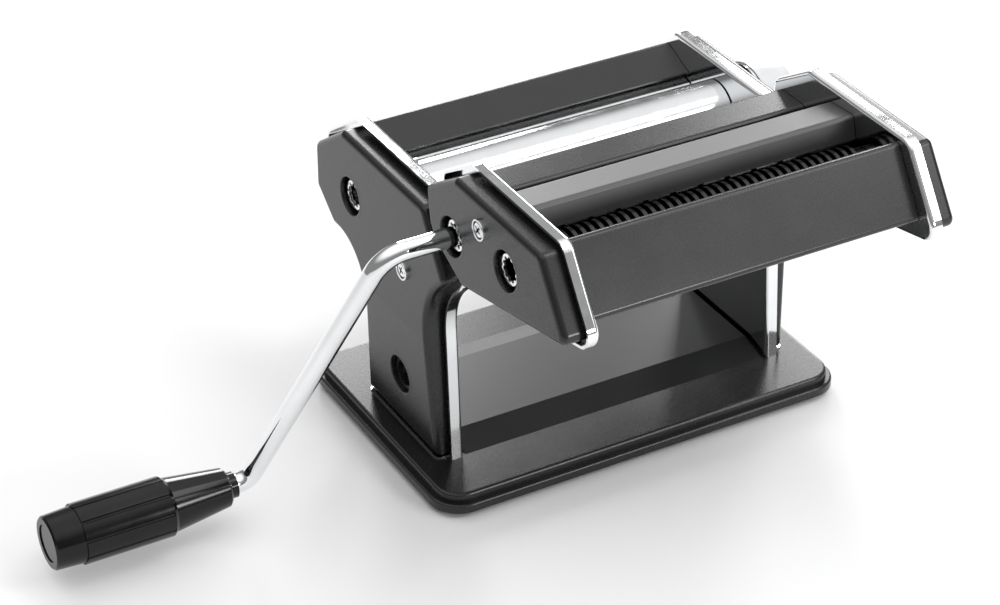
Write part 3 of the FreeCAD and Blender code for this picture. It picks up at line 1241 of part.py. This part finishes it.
def bent_rod(label, radius, route, bends):
    """Round bar along straight runs joined by tangent arcs."""
    points = [Vector(*(size(c) for c in p)) for p in route]
    edges, start = [], points[0]
    for i, bend in enumerate(bends, 1):
        back = (points[i - 1] - points[i]).normalize()
        ahead = (points[i + 1] - points[i]).normalize()
        half = math.acos(back.dot(ahead)) / 2
        reach = size(bend) / math.tan(half)
        first = points[i] + back * reach
        last = points[i] + ahead * reach
        middle = (back + ahead).normalize() * (size(bend) / math.sin(half) - size(bend))
        edges.append(Part.LineSegment(start, first).toShape())
        edges.append(Part.Arc(first, points[i] + middle, last).toShape())
        start = last
    edges.append(Part.LineSegment(start, points[-1]).toShape())
    section = Part.Circle(points[0], points[1] - points[0], size(radius)).toShape()
    solid = Part.Wire(edges).makePipeShell([Part.Wire([section])], True, False)
    piece = doc.addObject("Part::Feature", label)
    piece.Shape = solid
    return piece


def crank():
    route = [(TIP_X, "wide_y", "wide_z"), ("crank_bend_x", "wide_y", "wide_z"),
             ("crank_end_x", "crank_end_y", "crank_end_z"), (PIN_END, "crank_end_y", "crank_end_z")]
    rod = bent_rod("rod", "crank_rod_radius", route, ["crank_bend", "crank_end_bend"])
    head = part_rod("pin_head", "pin_head", f"{PIN_END} - pin_head_height", "pin_head_height",
                    "crank_end_y", "crank_end_z")
    return fuse("crank_rod", [rod, head])


crank()
key = doc.addObject("Part::Cylinder", "crank_cross_pin")
bind(key, "Radius", "crank_key_radius")
bind(key, "Height", "2 * (groove_reach - crank_play)")
for prop, text in (("x", f"-{CUTTER_MOUTH} + groove_depth / 2"), ("y", "wide_y"),
                   ("z", "wide_z - groove_reach + crank_play")):
    bind(key, "Placement.Base." + prop, text)
node(key)


def make_grip():
    """Grip: narrow neck end, taper, fluted barrel, smooth end with a cap recess."""
    start = "(crank_end_x - grip_start)"
    end = f"({start} - grip_length)"
    barrel = f"({start} - grip_taper)"
    smooth = f"({end} + grip_end_length)"
    bore = "(crank_rod_radius + grip_play)"
    well = "(grip_cap_radius + grip_cap_seat)"
    step = "(grip_radius - 1.2)"
    floor = f"({end} + grip_cap_depth + pin_head_height + 1.5)"
    body = turned("crank_grip", [
        (start, bore), (floor, bore), (floor, well), (end, well), (end, "grip_end_radius - 0.8"),
        (f"{end} + 0.8", "grip_end_radius"), (smooth, "grip_radius - 0.8"), (smooth, "grip_radius"),
        (barrel, "grip_radius"), (f"{barrel} + 1.5", step),
        (f"{start} - 1", "grip_narrow"), (start, "grip_narrow - 1"),
    ], "crank_end_y", "crank_end_z")
    sketch = new_sketch(body, "YZ_Plane", barrel)
    circle(sketch, "0", "grip_radius", "grip_flute")
    repeat_round(body, pocket(body, sketch, f"{barrel} - {smooth}", True), "grip_flutes")
    return node(body)


make_grip()
CAP_X = "(crank_end_x - grip_start - grip_length)"
node(tube("grip_cap", f"{CAP_X} + 0.5", f"{CAP_X} + grip_cap_depth", "grip_cap_radius", "0",
          "crank_end_y", "crank_end_z"))
node(tube("grip_neck", "crank_end_x - grip_start + side_play",
          "crank_end_x - grip_start + side_play + neck_length", "neck_radius",
          "crank_rod_radius + run_fit", "crank_end_y", "crank_end_z"))

# ---------------------------------------------------------------- check and write
doc.recompute()
for item in doc.Objects:
    if {"Invalid", "Error"} & set(item.State):
        raise ValueError(f"{item.Label}: {item.State}")
os.makedirs("parts", exist_ok=True)
for item in nodes:
    if item.Shape.isNull() or not item.Shape.isValid():
        raise ValueError(f"{item.Label} has no valid shape")
    item.Shape.exportStep(f"parts/{item.Label}.step")
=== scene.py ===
import json
import math

import bmesh
import bpy
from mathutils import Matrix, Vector


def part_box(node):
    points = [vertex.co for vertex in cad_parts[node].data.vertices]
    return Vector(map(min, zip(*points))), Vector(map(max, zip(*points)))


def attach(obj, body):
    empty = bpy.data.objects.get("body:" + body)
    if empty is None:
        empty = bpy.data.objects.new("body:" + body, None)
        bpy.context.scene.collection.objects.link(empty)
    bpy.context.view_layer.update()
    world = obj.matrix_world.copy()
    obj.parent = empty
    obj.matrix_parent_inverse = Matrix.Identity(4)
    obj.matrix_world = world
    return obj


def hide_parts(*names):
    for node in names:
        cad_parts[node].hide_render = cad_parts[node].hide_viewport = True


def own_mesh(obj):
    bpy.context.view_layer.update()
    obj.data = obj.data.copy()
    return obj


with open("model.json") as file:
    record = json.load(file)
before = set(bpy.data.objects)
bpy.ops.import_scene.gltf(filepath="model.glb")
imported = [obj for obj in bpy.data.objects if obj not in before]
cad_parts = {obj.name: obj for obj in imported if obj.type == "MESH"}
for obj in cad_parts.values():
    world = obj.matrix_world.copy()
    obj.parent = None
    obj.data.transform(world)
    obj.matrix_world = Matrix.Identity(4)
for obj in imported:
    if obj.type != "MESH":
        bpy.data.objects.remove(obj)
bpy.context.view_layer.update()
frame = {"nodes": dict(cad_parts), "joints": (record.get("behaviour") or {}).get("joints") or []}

MM = 0.001
scene = bpy.context.scene
nodes = frame["nodes"]
joints = {joint["name"]: joint for joint in frame["joints"]}


# ---------------------------------------------------------------- materials
# A noise pattern's values lie mostly between these two, which a ramp stretches to its own range.
PATTERN_LOW, PATTERN_HIGH = 0.35, 0.65


class Finish:
    """A Principled material whose patterns come from nodes in the object's own coordinates."""

    def __init__(self, name, **sockets):
        self.material = bpy.data.materials.new(name)
        self.material.use_nodes = True
        self.tree = self.material.node_tree
        self.tree.nodes.clear()
        out = self.add("ShaderNodeOutputMaterial")
        self.shader = self.add("ShaderNodeBsdfPrincipled")
        self.link(self.shader.outputs[0], out.inputs["Surface"])
        self.place = self.add("ShaderNodeTexCoord").outputs["Object"]
        for key, value in sockets.items():
            self.shader.inputs[key.replace("_", " ")].default_value = value

    def add(self, kind, **values):
        node = self.tree.nodes.new(kind)
        for key, value in values.items():
            setattr(node, key, value)
        return node

    def link(self, source, target):
        self.tree.links.new(source, target)

    def stretched(self, lay):
        """The object's coordinates, scaled along each axis: a small factor draws marks out."""
        mapping = self.add("ShaderNodeMapping")
        mapping.inputs["Scale"].default_value = lay
        self.link(self.place, mapping.inputs["Vector"])
        return mapping.outputs["Vector"]

    def noise(self, size, detail=2, rough=0.5, vector=None):
        """Noise whose features are about size metres across."""
        node = self.add("ShaderNodeTexNoise")
        node.inputs["Scale"].default_value = 1.0 / size
        node.inputs["Detail"].default_value = detail
        node.inputs["Roughness"].default_value = rough
        self.link(vector or self.place, node.inputs["Vector"])
        return node.outputs["Fac"]

    def ramp(self, pattern, low, high):
        """Maps a noise pattern to low .. high."""
        node = self.add("ShaderNodeMapRange")
        for key, number in (("From Min", PATTERN_LOW), ("From Max", PATTERN_HIGH),
                            ("To Min", low), ("To Max", high)):
            node.inputs[key].default_value = number
        self.link(pattern, node.inputs["Value"])
        return node.outputs["Result"]

    def sum(self, one, other):
        node = self.add("ShaderNodeMath", operation="ADD")
        self.link(one, node.inputs[0])
        self.link(other, node.inputs[1])
        return node.outputs["Value"]

    def blend(self, pattern, low, high):
        """Mixes two colours by a noise pattern, into the base colour."""
        node = self.add("ShaderNodeMix", data_type="RGBA")
        node.inputs["A"].default_value = (*low, 1)
        node.inputs["B"].default_value = (*high, 1)
        self.link(self.ramp(pattern, 0, 1), node.inputs["Factor"])
        self.link(node.outputs["Result"], self.shader.inputs["Base Color"])

    def roughness(self, value):
        self.link(value, self.shader.inputs["Roughness"])

    def bump(self, height, distance, strength):
        node = self.add("ShaderNodeBump")
        node.inputs["Strength"].default_value = strength
        node.inputs["Distance"].default_value = distance
        self.link(height, node.inputs["Height"])
        self.link(node.outputs["Normal"], self.shader.inputs["Normal"])


def lacquer(name, tone=0.010, gloss=0.27, index=1.5):
    """Satin black lacquer baked on steel: faint orange peel and a slightly uneven sheen."""
    finish = Finish(name, IOR=index)
    cloud = finish.noise(size=18 * MM, detail=3)
    grain = finish.noise(size=0.35 * MM)
    peel = finish.noise(size=1.4 * MM)
    cooler = (tone * 1.1, tone * 1.1, tone * 1.18)
    finish.blend(cloud, (tone * 0.9,) * 3, cooler)
    uneven = finish.ramp(cloud, gloss - 0.008, gloss + 0.008)
    fine = finish.ramp(grain, -0.015, 0.015)
    finish.roughness(finish.sum(uneven, fine))
    finish.bump(peel, distance=0.02 * MM, strength=0.3)
    return finish.material


def chromed(name, tone=(0.86, 0.87, 0.88), gloss=0.07, lay=(1, 1, 1)):
    """Bright chrome: a mirror with faint polishing marks and a thin haze."""
    finish = Finish(name, Metallic=1.0)
    haze = finish.noise(size=9 * MM, detail=3)
    marks = finish.noise(size=0.6 * MM, detail=3, rough=0.6, vector=finish.stretched(lay))
    finish.blend(haze, tuple(part * 0.97 for part in tone), tone)
    uneven = finish.ramp(haze, gloss * 0.7, gloss * 1.3)
    finish.roughness(finish.sum(uneven, finish.ramp(marks, 0, 0.035)))
    finish.bump(marks, distance=0.004 * MM, strength=0.25)
    return finish.material


def steel(name, tone, gloss, lay, depth=0.012 * MM):
    """Machined steel: fine tool marks along lay, and a cloudy dull film."""
    finish = Finish(name, Metallic=1.0)
    marks = finish.noise(size=0.5 * MM, detail=3, rough=0.6, vector=finish.stretched(lay))
    cloud = finish.noise(size=14 * MM, detail=3)
    finish.blend(cloud, tuple(part * 0.86 for part in tone), tone)
    uneven = finish.ramp(marks, gloss * 0.75, gloss * 1.25)
    finish.roughness(finish.sum(uneven, finish.ramp(cloud, 0, 0.06)))
    finish.bump(marks, distance=depth, strength=0.4)
    return finish.material


def plastic(name, low, high, gloss, depth=0.01 * MM, index=1.5):
    """Moulded plastic: a faint mould grain and slow sheen changes."""
    finish = Finish(name, IOR=index)
    cloud = finish.noise(size=10 * MM)
    grain = finish.noise(size=0.3 * MM)
    finish.blend(cloud, low, high)
    uneven = finish.ramp(cloud, gloss * 0.85, gloss * 1.15)
    finish.roughness(finish.sum(uneven, finish.ramp(grain, 0, 0.03)))
    finish.bump(grain, distance=depth, strength=0.3)
    return finish.material


def rubber(name):
    """Black rubber: dull and finely pitted."""
    finish = Finish(name, IOR=1.5)
    pits = finish.noise(size=0.5 * MM, detail=3, rough=0.6)
    finish.blend(pits, (0.010, 0.010, 0.010), (0.028, 0.028, 0.027))
    finish.roughness(finish.ramp(pits, 0.62, 0.8))
    finish.bump(pits, distance=0.06 * MM, strength=0.5)
    return finish.material


BLACK = lacquer("black_lacquer")
# A darker copy of the black lacquer for the bed sheet: painted shade under the head.
SHEET_PAINTED_SHADE = lacquer("black_lacquer_sheet_painted_shade", tone=0.008, gloss=0.33, index=1.45)
# A lighter copy of the black lacquer for the ridge cover: painted light on its facets, with a
# satin finish.
SATIN_PAINTED_LIGHT = lacquer("black_lacquer_ridge_painted_light", tone=0.024, gloss=0.46, index=1.75)
CHROME = chromed("chrome_plate", lay=(1, 1, 0.06))
CHROME_ROD = chromed("chrome_rod", gloss=0.05, lay=(0.1, 1, 1))
MIRROR = chromed("chrome_small", gloss=0.09)
ROLLER = chromed("polished_roller", (0.66, 0.67, 0.68), gloss=0.10, lay=(6, 0.2, 0.2))
STEEL = steel("bright_steel", (0.66, 0.67, 0.68), gloss=0.26, lay=(0.1, 1, 1))
# The cutters' near-black tone is painted shade from the slot they sit in; they are bright steel.
CUTTER_PAINTED_SHADE = steel("cutter_steel_painted_shade", (0.06, 0.06, 0.063), gloss=0.15, lay=(4, 1, 1))
# The combs' near-black tone is painted shade in the slot, not their own colour.
COMB_PAINTED_SHADE = steel("comb_steel_painted_shade", (0.05, 0.05, 0.052), gloss=0.22, lay=(1, 0.2, 1))
GEAR = steel("gear_steel", (0.50, 0.50, 0.51), gloss=0.36, lay=(0.15, 1, 1), depth=0.02 * MM)
NYLON = plastic("nylon", (0.70, 0.69, 0.64), (0.78, 0.77, 0.73), gloss=0.45)
KNOB = plastic("pale_knob", (0.60, 0.61, 0.62), (0.66, 0.67, 0.68), gloss=0.22)
GRIP = plastic("black_grip", (0.002, 0.002, 0.002), (0.004, 0.004, 0.0044), gloss=0.13,
               depth=0.004 * MM, index=1.38)
FEET = rubber("black_rubber")

finishes = {
    BLACK: ("base_plate crank_side_cover knob_side_cover cutter_crank_cover cutter_knob_cover "
            "cutter_rear_cover cutter_front_cover rear_guide front_guide clamp_socket"),
    SHEET_PAINTED_SHADE: "bed_sheet_plate",
    SATIN_PAINTED_LIGHT: "cutter_ridge_cover",
    CHROME: "crank_side_plate knob_side_plate cutter_crank_plate cutter_knob_plate",
    CHROME_ROD: "crank_rod crank_cross_pin",
    MIRROR: "cover_screws cutter_screws knob_detent_plate knob_pin knob_screw",
    ROLLER: "fixed_roller movable_roller",
    STEEL: ("tie_rods tie_nuts cutter_tie_rods cutter_tie_nuts setting_shaft knob_spring "
            "head_rails head_hooks fixed_roller_scraper movable_roller_scraper"),
    COMB_PAINTED_SHADE: "wide_drive_comb wide_driven_comb narrow_drive_comb narrow_driven_comb",
    CUTTER_PAINTED_SHADE: "wide_drive_cutter wide_driven_cutter narrow_drive_cutter narrow_driven_cutter",
    GEAR: ("fixed_roller_gear movable_roller_gear wide_drive_gear wide_driven_gear "
           "narrow_drive_gear narrow_driven_gear roller_bearings"),
    NYLON: "roller_bushes cutter_bushes",
    KNOB: "adjusting_knob knob_cap",
    GRIP: "crank_grip grip_cap grip_neck",
    FEET: "rubber_feet",
}
for finish, names in finishes.items():
    for name in names.split():
        for slot in nodes[name].material_slots:
            slot.material = finish


# ---------------------------------------------------------------- places from the frame, in mm
def millimetres(metres):
    """A length in mm, to the micrometre."""
    return round(metres / MM, 3)


def crank_face(node):
    """x of a node's outermost face on the crank side, which is the side of negative x."""
    return millimetres(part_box(node)[0].x)


def middle(node):
    """(y, z) of the middle of a node's box."""
    low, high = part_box(node)
    return millimetres((low.y + high.y) / 2), millimetres((low.z + high.z) / 2)


def axis_place(joint):
    """(y, z) of a joint's axis, which runs along the machine's width."""
    _, y, z = joints[joint]["pos_m"]
    return millimetres(y), millimetres(z)


# ---------------------------------------------------------------- small pieces
SHARP_ANGLE = 32    # degrees; edges that turn more stay sharp


def finish_piece(name, bm, materials, body, hides=()):
    """Makes an object of a mesh, with sharp edges kept, and lets it ride on a body."""
    bmesh.ops.recalc_face_normals(bm, faces=bm.faces)
    mesh = bpy.data.meshes.new(name)
    for face in bm.faces:
        face.smooth = True
    bm.to_mesh(mesh)
    bm.free()
    mesh.set_sharp_from_angle(angle=math.radians(SHARP_ANGLE))
    for material in materials:
        mesh.materials.append(material)
    piece = bpy.data.objects.new(name, mesh)
    scene.collection.objects.link(piece)
    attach(piece, body)
    if hides:
        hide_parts(*hides)


def bridge(bm, loop, other, material=0):
    """Quads between two closed loops with the same number of vertices."""
    count = len(loop)
    for here in range(count):
        after = (here + 1) % count
        face = bm.faces.new((loop[here], loop[after], other[after], other[here]))
        face.material_index = material


def revolve(bm, profile, centre, steps=64, lean=0.0, grooves=None, material=0):
    """Turns a closed profile of (x, radius) in mm about a line along the machine's width.

    lean tips the ring so that its x grows with height. grooves is (count, share, depth): each
    groove takes that share of its part of the turn, and deepens the radius of the profile's
    points that have a third value.
    """
    y0, z0 = centre
    rows = []
    for step in range(steps):
        angle = math.tau * step / steps
        deeper = 0.0
        if grooves:
            count, share, depth = grooves
            phase = (angle * count / math.tau + 0.5 + share / 2) % 1.0
            deeper = depth if phase < share else 0.0
        row = []
        for x, radius, *grooved in profile:
            radius += deeper if grooved else 0.0
            y, z = radius * math.cos(angle), radius * math.sin(angle)
            row.append(bm.verts.new(((x + lean * z) * MM, (y0 + y) * MM, (z0 + z) * MM)))
        rows.append(row)
    for row, following in zip(rows, rows[1:] + rows[:1]):
        bridge(bm, row, following, material)


def fillet(corner, start, end, steps=5):
    """Points of a rounded corner of a profile, from start to end."""
    points = []
    for step in range(steps + 1):
        t = step / steps
        weights = (1 - t) ** 2, 2 * t * (1 - t), t ** 2
        points.append(tuple(sum(weight * value for weight, value in zip(weights, values))
                            for values in zip(start, corner, end)))
    return points


# ---------------------------------------------------------------- cross-head screws
# Radii and depths in mm. Depths are measured inwards from the face of the ring.
RING_OUTER, RING_INNER, RING_DEPTH = 4.6, 3.75, 1.4
RING_ROUND, RING_INNER_ROUND, RING_INNER_SLOPE = 0.3, 0.2, 0.25
CUP_RADIUS, CUP_FLOOR = 3.9, 1.2
SHANK_OUTER, SHANK_INNER, SHANK_DEPTH = 1.9, 1.7, 6
HEAD_DOME = ((1.25, 3.2), (0.55, 3.2), (0.3, 2.95), (0.2, 2.6))    # (depth, radius)
HEAD_STEPS = 48
CROSS_ARM, CROSS_HALF_WIDTH = 1.95, 0.42
CROSS_TOP, CROSS_FLOOR, CROSS_TAPER = 0.15, 1.1, 0.8
# A screw's second material is black lacquer: painted shade in the gap round the head and in the
# cross recess.
BRIGHT_PART, SHADE_PAINTED_PART = 0, 1    # a screw's two materials


def cross_screw(bm, side, face, centre, turn):
    """A recessed cross-head screw in a bright ring: ring, cup, shank, head and its cross; the
    cup, shank and cross recess are black lacquer as painted shade.
    """
    y0, z0 = centre

    def x(depth):
        return side * (face - depth)

    def vertex(depth, y, z):
        return bm.verts.new((x(depth) * MM, (y0 + y) * MM, (z0 + z) * MM))

    ring = [(x(RING_DEPTH), RING_OUTER),
            *fillet((x(0), RING_OUTER), (x(RING_ROUND), RING_OUTER),
                    (x(0), RING_OUTER - RING_ROUND), 3),
            *fillet((x(0), RING_INNER), (x(0), RING_INNER + RING_INNER_ROUND),
                    (x(RING_INNER_SLOPE), RING_INNER), 3),
            (x(RING_DEPTH), RING_INNER)]
    revolve(bm, ring, centre, material=BRIGHT_PART)

    # The cup and shank: black lacquer as painted shade in the gap round the head.
    cup = [(x(RING_DEPTH), CUP_RADIUS), (x(CUP_FLOOR), CUP_RADIUS), (x(CUP_FLOOR), SHANK_OUTER),
           (x(SHANK_DEPTH), SHANK_OUTER), (x(SHANK_DEPTH), SHANK_INNER),
           (x(RING_DEPTH), SHANK_INNER)]
    revolve(bm, cup, centre, material=SHADE_PAINTED_PART)

    rings = []
    for depth, radius in HEAD_DOME:
        angles = [math.tau * step / HEAD_STEPS for step in range(HEAD_STEPS)]
        rings.append([vertex(depth, radius * math.cos(angle), radius * math.sin(angle))
                      for angle in angles])
    for low, high in zip(rings, rings[1:]):
        bridge(bm, low, high)

    arm, half = CROSS_ARM, CROSS_HALF_WIDTH
    quarter = [(arm, -half), (arm, half), (half, half)]
    outline = []
    for _ in range(4):
        outline += quarter
        quarter = [(-v, u) for u, v in quarter]
    spun = [(u * math.cos(turn) - v * math.sin(turn), u * math.sin(turn) + v * math.cos(turn))
            for u, v in outline]
    top = [vertex(CROSS_TOP, u, v) for u, v in spun]
    deep = [vertex(CROSS_FLOOR, CROSS_TAPER * u, CROSS_TAPER * v) for u, v in spun]
    mouth = [bm.edges.new(pair) for pair in zip(top, top[1:] + top[:1])]
    dome_top = rings[-1]
    rim = [bm.edges.get(pair) for pair in zip(dome_top, dome_top[1:] + dome_top[:1])]
    bmesh.ops.triangle_fill(bm, use_beauty=True, edges=mouth + rim)
    # The cross recess: black lacquer as painted shade.
    bridge(bm, top, deep, SHADE_PAINTED_PART)
    bm.faces.new(deep).material_index = SHADE_PAINTED_PART


def screw_heads(name, node, body, turns):
    """The two screws of a node, one on each side of the machine, in place of the node."""
    face = -crank_face(node)
    screws = bmesh.new()
    for side, turn in zip((-1, 1), turns):
        cross_screw(screws, side, face, middle(node), turn)
    # BLACK here is painted shade in the screws' cups and cross recesses.
    finish_piece(name, screws, (MIRROR, BLACK), body, (node,))


screw_heads("cover_screw_heads", "cover_screws", "frame", turns=(0.35, 1.1))
screw_heads("cutter_screw_heads", "cutter_screws", "cutter_head", turns=(0.5, 1.3))


# ---------------------------------------------------------------- sockets of the crank side
CRANK_HOLE, CRANK_BORE = 10.3, 8.6    # radii: of the hole in the cover, and inside its lip
LIP_STEPS = 72
LIP_PROUD, LIP_SUNK = 0.03, 0.25    # of the cover's face
LIP_ROLL = 0.75    # radius of the rolled edge
LIP_LAP, LIP_PLAY = 0.35, 0.15    # over the hole's edge, and inside the hole
LIP_REACH, LIP_WALL = 2.2, 0.5    # how far it goes in, and its thickness there
LIP_SHOULDER = (1.3, 0.8)    # depth, and distance from the bore
LIP_BACK = 0.9    # depth at which its back meets the hole


def rolled_lip(name, body, face, centre, hole=CRANK_HOLE, bore=CRANK_BORE, lean=0.0):
    """The lacquered sheet's edge, rolled into a hole in the crank side's cover."""
    lip = bmesh.new()
    flat_edge = bore + LIP_ROLL
    front = face - LIP_PROUD
    shoulder_depth, shoulder_rise = LIP_SHOULDER
    profile = [(face + LIP_SUNK, hole + LIP_LAP), (front, hole + LIP_LAP), (front, flat_edge),
               *fillet((front, bore), (front, flat_edge), (front + LIP_ROLL, bore)),
               (face + LIP_REACH, bore), (face + LIP_REACH, bore + LIP_WALL),
               (face + shoulder_depth, bore + shoulder_rise),
               (face + LIP_BACK, hole - LIP_PLAY), (face + LIP_SUNK, hole - LIP_PLAY)]
    revolve(lip, profile, centre, LIP_STEPS, lean)
    finish_piece(name, lip, (BLACK,), body)


COLLAR_STEPS = 120
COLLAR_OUTER, COLLAR_BORE = 6.7, 4.55
COLLAR_LENGTH, COLLAR_EDGE, COLLAR_SUNK = 1.1, 0.3, 0.05
COLLAR_GROOVES = (10, 0.58, 0.85)    # number, share of the turn, depth


def socket_collar(name, body, hub, centre):
    """A bright collar round the mouth of a grooved socket."""
    collar = bmesh.new()
    front = hub - COLLAR_LENGTH
    edge = front + COLLAR_EDGE
    inside = hub + COLLAR_SUNK
    profile = [(inside, COLLAR_OUTER), (edge, COLLAR_OUTER),
               *fillet((front, COLLAR_OUTER), (edge, COLLAR_OUTER),
                       (front, COLLAR_OUTER - COLLAR_EDGE), 3),
               (front, COLLAR_BORE + COLLAR_EDGE, "grooved"), (edge, COLLAR_BORE, "grooved"),
               (inside, COLLAR_BORE, "grooved")]
    revolve(collar, profile, centre, COLLAR_STEPS, grooves=COLLAR_GROOVES)
    finish_piece(name, collar, (MIRROR,), body)


# The hole for the table clamp is in the leg, whose face leans outwards.
CLAMP_FACE, CLAMP_PLACE, CLAMP_LEAN = -90.06, (-3.8, 37.5), -0.04
CLAMP_HOLE, CLAMP_BORE = 10.4, 8.4

rolled_lip("roller_socket_lip", "frame", crank_face("crank_side_cover"),
           axis_place("roller_turn"))
rolled_lip("clamp_socket_lip", "frame", CLAMP_FACE, CLAMP_PLACE, CLAMP_HOLE, CLAMP_BORE,
           CLAMP_LEAN)
for cutter in ("wide", "narrow"):
    rolled_lip(f"{cutter}_socket_lip", "cutter_head", crank_face("cutter_crank_cover"),
               axis_place(f"{cutter}_turn"))

socket_collar("roller_socket_collar", "fixed_roller", crank_face("fixed_roller"),
              axis_place("roller_turn"))
for cutter in ("wide", "narrow"):
    socket_collar(f"{cutter}_socket_collar", f"{cutter}_drive",
                  crank_face(f"{cutter}_drive_cutter"), axis_place(f"{cutter}_turn"))


# ---------------------------------------------------------------- flanges and springs
FLANGE_INNER, FLANGE_OUTER = 80.0, 89.1    # from the machine's middle
FLANGE_FRONT, FLANGE_REAR = -34.6, 29.1
FLANGE_RADIUS, FLANGE_STEPS = 3.0, 8    # of a rounded corner
FLANGE_LOW, FLANGE_HIGH = 0.05, 0.6    # over the base


def foot_flanges(name):
    """The bright flanges of the side plates, which show as a thin line under the covers."""
    bm = bmesh.new()
    base_top = millimetres(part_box("base_plate")[1].z)
    across = FLANGE_OUTER - FLANGE_RADIUS
    corners = [(FLANGE_FRONT + FLANGE_RADIUS, 1.5), (FLANGE_REAR - FLANGE_RADIUS, 0.0)]
    outline = [(FLANGE_INNER, FLANGE_FRONT)]
    for along, start in corners:
        for step in range(FLANGE_STEPS + 1):
            angle = math.pi * (start + step / (2 * FLANGE_STEPS))
            outline.append((across + FLANGE_RADIUS * math.cos(angle),
                            along + FLANGE_RADIUS * math.sin(angle)))
    outline.append((FLANGE_INNER, FLANGE_REAR))
    for side in (-1, 1):
        low, high = ([bm.verts.new((side * x * MM, y * MM, (base_top + height) * MM))
                      for x, y in outline] for height in (FLANGE_LOW, FLANGE_HIGH))
        bm.faces.new(low)
        bm.faces.new(high)
        bridge(bm, low, high)
    finish_piece(name, bm, (MIRROR,), "frame")


def knob_springs(name):
    """The knob's disc springs, a rigid copy that rides on the setting shaft; on the real knob
    they flatten against the screw's head when it is pulled.
    """
    node = nodes["knob_spring"]
    piece = bpy.data.objects.new(name, node.data.copy())
    scene.collection.objects.link(piece)
    piece.matrix_world = node.matrix_world
    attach(piece, "setting_shaft")
    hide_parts("knob_spring")
    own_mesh(piece)


foot_flanges("foot_flanges")
knob_springs("knob_springs")


# ---------------------------------------------------------------- floor, lights and camera
FLOOR_WIDTH = 8


def paper_floor():
    """A pale matt floor, with hardly any change of tone."""
    paper = Finish("pale_paper", Roughness=0.9)
    paper.blend(paper.noise(size=0.4), (0.86, 0.86, 0.86), (0.88, 0.88, 0.88))
    mesh = bpy.data.meshes.new("floor")
    half = FLOOR_WIDTH / 2
    mesh.from_pydata([(-half, -half, 0), (half, -half, 0), (half, half, 0), (-half, half, 0)],
                     [], [(0, 1, 2, 3)])
    mesh.materials.append(paper.material)
    floor = bpy.data.objects.new("floor", mesh)
    scene.collection.objects.link(floor)


def studio(low, high, horizon, top):
    """White studio walls: low up to the horizon's height, and high from the top upwards."""
    world = bpy.data.worlds.new("studio")
    world.use_nodes = True
    tree = world.node_tree
    place = tree.nodes.new("ShaderNodeTexCoord")
    split = tree.nodes.new("ShaderNodeSeparateXYZ")
    rise = tree.nodes.new("ShaderNodeMapRange")
    rise.interpolation_type = "SMOOTHSTEP"
    for key, value in (("From Min", horizon), ("From Max", top), ("To Min", low),
                       ("To Max", high)):
        rise.inputs[key].default_value = value
    background = tree.nodes["Background"]
    tree.links.new(place.outputs["Generated"], split.inputs["Vector"])
    tree.links.new(split.outputs["Z"], rise.inputs["Value"])
    tree.links.new(rise.outputs["Result"], background.inputs["Strength"])
    background.inputs["Color"].default_value = (1, 1, 1, 1)
    scene.world = world


def softbox(name, at, towards, size, radiance):
    """A soft rectangular light that shines at a point."""
    light = bpy.data.lights.new(name, "AREA")
    light.shape = "RECTANGLE"
    light.size, light.size_y = size
    light.energy = radiance * math.pi * size[0] * size[1]
    box = bpy.data.objects.new(name, light)
    box.location = at
    direction = Vector(towards) - Vector(at)
    box.rotation_euler = direction.to_track_quat("-Z", "Y").to_euler()
    scene.collection.objects.link(box)


paper_floor()
studio(low=0.26, high=1.25, horizon=0.40, top=0.9)
softbox("back_left", at=(0.50, 1.42, 0.645), towards=(0, 0, 0.1), size=(0.34, 0.58),
        radiance=14.0)
softbox("back_right", at=(1.06, 1.10, 0.645), towards=(0, 0, 0.1), size=(0.34, 0.58),
        radiance=12.5)
softbox("overhead", at=(0.43, -0.35, 1.16), towards=(0, -0.05, 0.12), size=(0.5, 0.5),
        radiance=3.0)
softbox("key", at=(0.74, -0.80, 0.84), towards=(0, -0.137, 0.13), size=(0.42, 0.42),
        radiance=5.0)
softbox("front", at=(0.42, -1.20, 0.44), towards=(0, 0, 0.14), size=(0.36, 0.22),
        radiance=20.0)

# The camera as fitted to the photograph: lens in mm, place in m, angles in degrees.
LENS, SENSOR_WIDTH = 104.65, 36
CAMERA_PLACE = (-0.56318, -0.93017, 0.73494)
CAMERA_TILT, CAMERA_TURN = 57.55, -29.43

camera = bpy.data.objects.new("camera", bpy.data.cameras.new("camera"))
camera.data.lens = LENS
camera.data.sensor_width = SENSOR_WIDTH
camera.data.clip_start = 0.05
camera.location = CAMERA_PLACE
camera.rotation_euler = (math.radians(CAMERA_TILT), 0, math.radians(CAMERA_TURN))
scene.collection.objects.link(camera)
scene.camera = camera
scene.view_settings.view_transform = "Standard"
